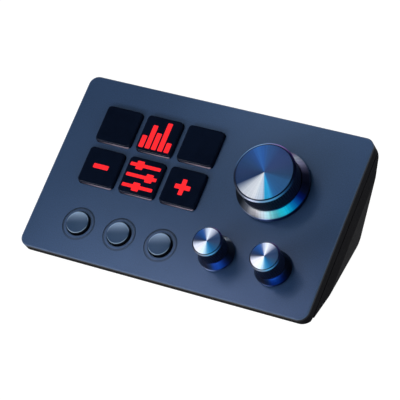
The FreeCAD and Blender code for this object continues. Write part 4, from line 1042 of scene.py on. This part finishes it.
def broad_lamp(name, place, target, size, power, tone):
    """A large soft lamp."""
    data = bpy.data.lights.new(name, "AREA")
    data.shape = "ELLIPSE"
    data.size, data.size_y = size
    hang(data, place, target, power, tone)


def spot_lamp(name, place, target, cone, blend, softness, power, tone):
    """A lamp that makes a soft-edged pool of light."""
    data = bpy.data.lights.new(name, "SPOT")
    data.shadow_soft_size = softness
    data.spot_size, data.spot_blend = math.radians(cone), blend
    hang(data, place, target, power, tone)


def light_plate(studio):
    """The pools come from five places each, so that their shadows fade out."""
    corners = [(x * POOL_SPREAD, y * POOL_SPREAD) for y in (1, -1) for x in (1, -1)]
    for name, across, along, cone, tone in POOLS:
        target = TO_ROW @ Vector((across, along, 0))
        turn = (target - HIGH_LEFT).to_track_quat("-Z", "Y")
        power = getattr(studio, name) / (len(corners) + 1)
        for x, y in [(0, 0), *corners]:
            spot_lamp(name, HIGH_LEFT + turn @ Vector((x, y, 0)), target, cone, 1.0,
                      POOL_SOFTNESS, power, tone)


def light_knobs(studio):
    """Small pools that lift the knobs' faces."""
    for name, across, along, cone, softness, tone in CATCHES:
        target = TO_ROW @ Vector((across, along, FACE_HEIGHT))
        spot_lamp(name, HIGH_LEFT, target, cone, 0.5, softness, getattr(studio, name), tone)


# Heights, as shares of the way up, at which the horizon's light ends and the sky's begins
HORIZON_TOP, SKY_FOOT = 0.05, 0.65


def white_world(studio):
    """White to the camera; for the rest of the light dim overhead and brighter at the horizon."""
    world = bpy.data.worlds.new("studio")
    bpy.context.scene.world = world
    world.use_nodes = True
    tree = world.node_tree
    tree.nodes.clear()
    output = tree.nodes.new("ShaderNodeOutputWorld")
    light = tree.nodes.new("ShaderNodeBackground")
    white = tree.nodes.new("ShaderNodeBackground")
    chosen = tree.nodes.new("ShaderNodeMixShader")
    path = tree.nodes.new("ShaderNodeLightPath")
    place = tree.nodes.new("ShaderNodeTexCoord")
    height = tree.nodes.new("ShaderNodeSeparateXYZ")
    blend = tree.nodes.new("ShaderNodeValToRGB")
    low, high = blend.color_ramp.elements
    low.color, high.color = (*studio.horizon_colour, 1.0), (*studio.sky_colour, 1.0)
    low.position, high.position = HORIZON_TOP, SKY_FOOT
    light.inputs["Strength"].default_value = studio.world
    tree.links.new(place.outputs["Generated"], height.inputs[0])
    tree.links.new(height.outputs[2], blend.inputs[0])
    tree.links.new(blend.outputs[0], light.inputs["Color"])
    tree.links.new(path.outputs["Is Camera Ray"], chosen.inputs[0])
    tree.links.new(light.outputs[0], chosen.inputs[1])
    tree.links.new(white.outputs[0], chosen.inputs[2])
    tree.links.new(chosen.outputs[0], output.inputs[0])


def floor_finish(studio):
    """Pale matt floor that shows white to the camera and keeps a soft shadow."""
    finish = Finish("studio_floor", roughness=0.9, Specular_IOR_Level=0.0)
    finish.colour((*studio.floor_colour, 1.0))
    glow = finish.add("Emission", {"Color": (1, 1, 1, 1), "Strength": FLOOR_WHITE})
    path = finish.add("LightPath")
    seen = finish.math("MULTIPLY", path.outputs["Is Glossy Ray"], studio.mirrored_glow)
    seen = finish.math("MAXIMUM", path.outputs["Is Camera Ray"], seen)
    mixed = finish.add("MixShader", {0: finish.math("MULTIPLY", seen, studio.floor_glow)})
    finish.tree.links.new(finish.shader.outputs[0], mixed.inputs[1])
    finish.tree.links.new(glow.outputs[0], mixed.inputs[2])
    output = finish.tree.nodes["Material Output"]
    finish.tree.links.new(mixed.outputs[0], output.inputs[0])
    return finish.material


# Where the camera stands, in metres, and how it is turned, in degrees, as fitted to the photograph
CAMERA_PLACE = (0.355811, -0.539341, 0.523754)
CAMERA_TURN = (51.71746, 6.14689, 28.47178)
SENSOR_WIDTH = 36.0
FLOOR_REACH = 3.0
FLOOR_WHITE = 1.25


class KEYPAD_OT_studio(Operator):
    """Lay the pale floor, hang the lamps and place the camera"""

    bl_idname = "keypad.studio"
    bl_label = "Make studio"

    def execute(self, context):
        studio = settings("keypad_studio")
        scene = context.scene
        scene.view_settings.view_transform = "Standard"
        white_world(studio)
        form = bmesh.new()
        bmesh.ops.create_grid(form, x_segments=1, y_segments=1, size=FLOOR_REACH)
        mesh = bpy.data.meshes.new("studio_floor")
        form.to_mesh(mesh)
        form.free()
        mesh.materials.append(floor_finish(studio))
        floor = bpy.data.objects.new("studio_floor", mesh)
        scene.collection.objects.link(floor)
        light_plate(studio)
        light_knobs(studio)
        broad_lamp("key", HIGH_LEFT, ORIGIN, (0.16, 0.16), studio.key, SKY_TONE)
        broad_lamp("front_strip", FRONT_LEFT, Vector((0, 0, 0.02)), (0.50, 0.12),
                   studio.front_strip, STRIP_TONE)
        data = bpy.data.cameras.new("photo_camera")
        data.lens = studio.focal
        data.sensor_width = SENSOR_WIDTH
        data.clip_start, data.clip_end = 0.05, 20.0
        camera = bpy.data.objects.new("photo_camera", data)
        camera.location = CAMERA_PLACE
        camera.rotation_euler = [math.radians(turn) for turn in CAMERA_TURN]
        scene.collection.objects.link(camera)
        scene.camera = camera
        return {"FINISHED"}


OPERATORS = (KEYPAD_OT_case, KEYPAD_OT_keys, KEYPAD_OT_buttons, KEYPAD_OT_knobs, KEYPAD_OT_studio)


class KEYPAD_PT_panel(Panel):
    """Lists the operators in the order in which they run"""

    bl_label = "Keypad"
    bl_space_type = "VIEW_3D"
    bl_region_type = "UI"
    bl_category = "Keypad"

    def draw(self, context):
        for operator in OPERATORS:
            self.layout.operator(operator.bl_idname)


def register():
    for group in SETTINGS.values():
        bpy.utils.register_class(group)
    for name, group in SETTINGS.items():
        setattr(bpy.types.Scene, name, PointerProperty(type=group))
    for operator in OPERATORS:
        bpy.utils.register_class(operator)
    bpy.utils.register_class(KEYPAD_PT_panel)


def unregister():
    bpy.utils.unregister_class(KEYPAD_PT_panel)
    for operator in reversed(OPERATORS):
        bpy.utils.unregister_class(operator)
    for name, group in SETTINGS.items():
        delattr(bpy.types.Scene, name)
        bpy.utils.unregister_class(group)


def main():
    register()
    bpy.ops.keypad.case()
    bpy.ops.keypad.keys()
    bpy.ops.keypad.buttons()
    bpy.ops.keypad.knobs()
    bpy.ops.keypad.studio()
    bpy.context.view_layer.update()


if __name__ == "__main__":
    main()
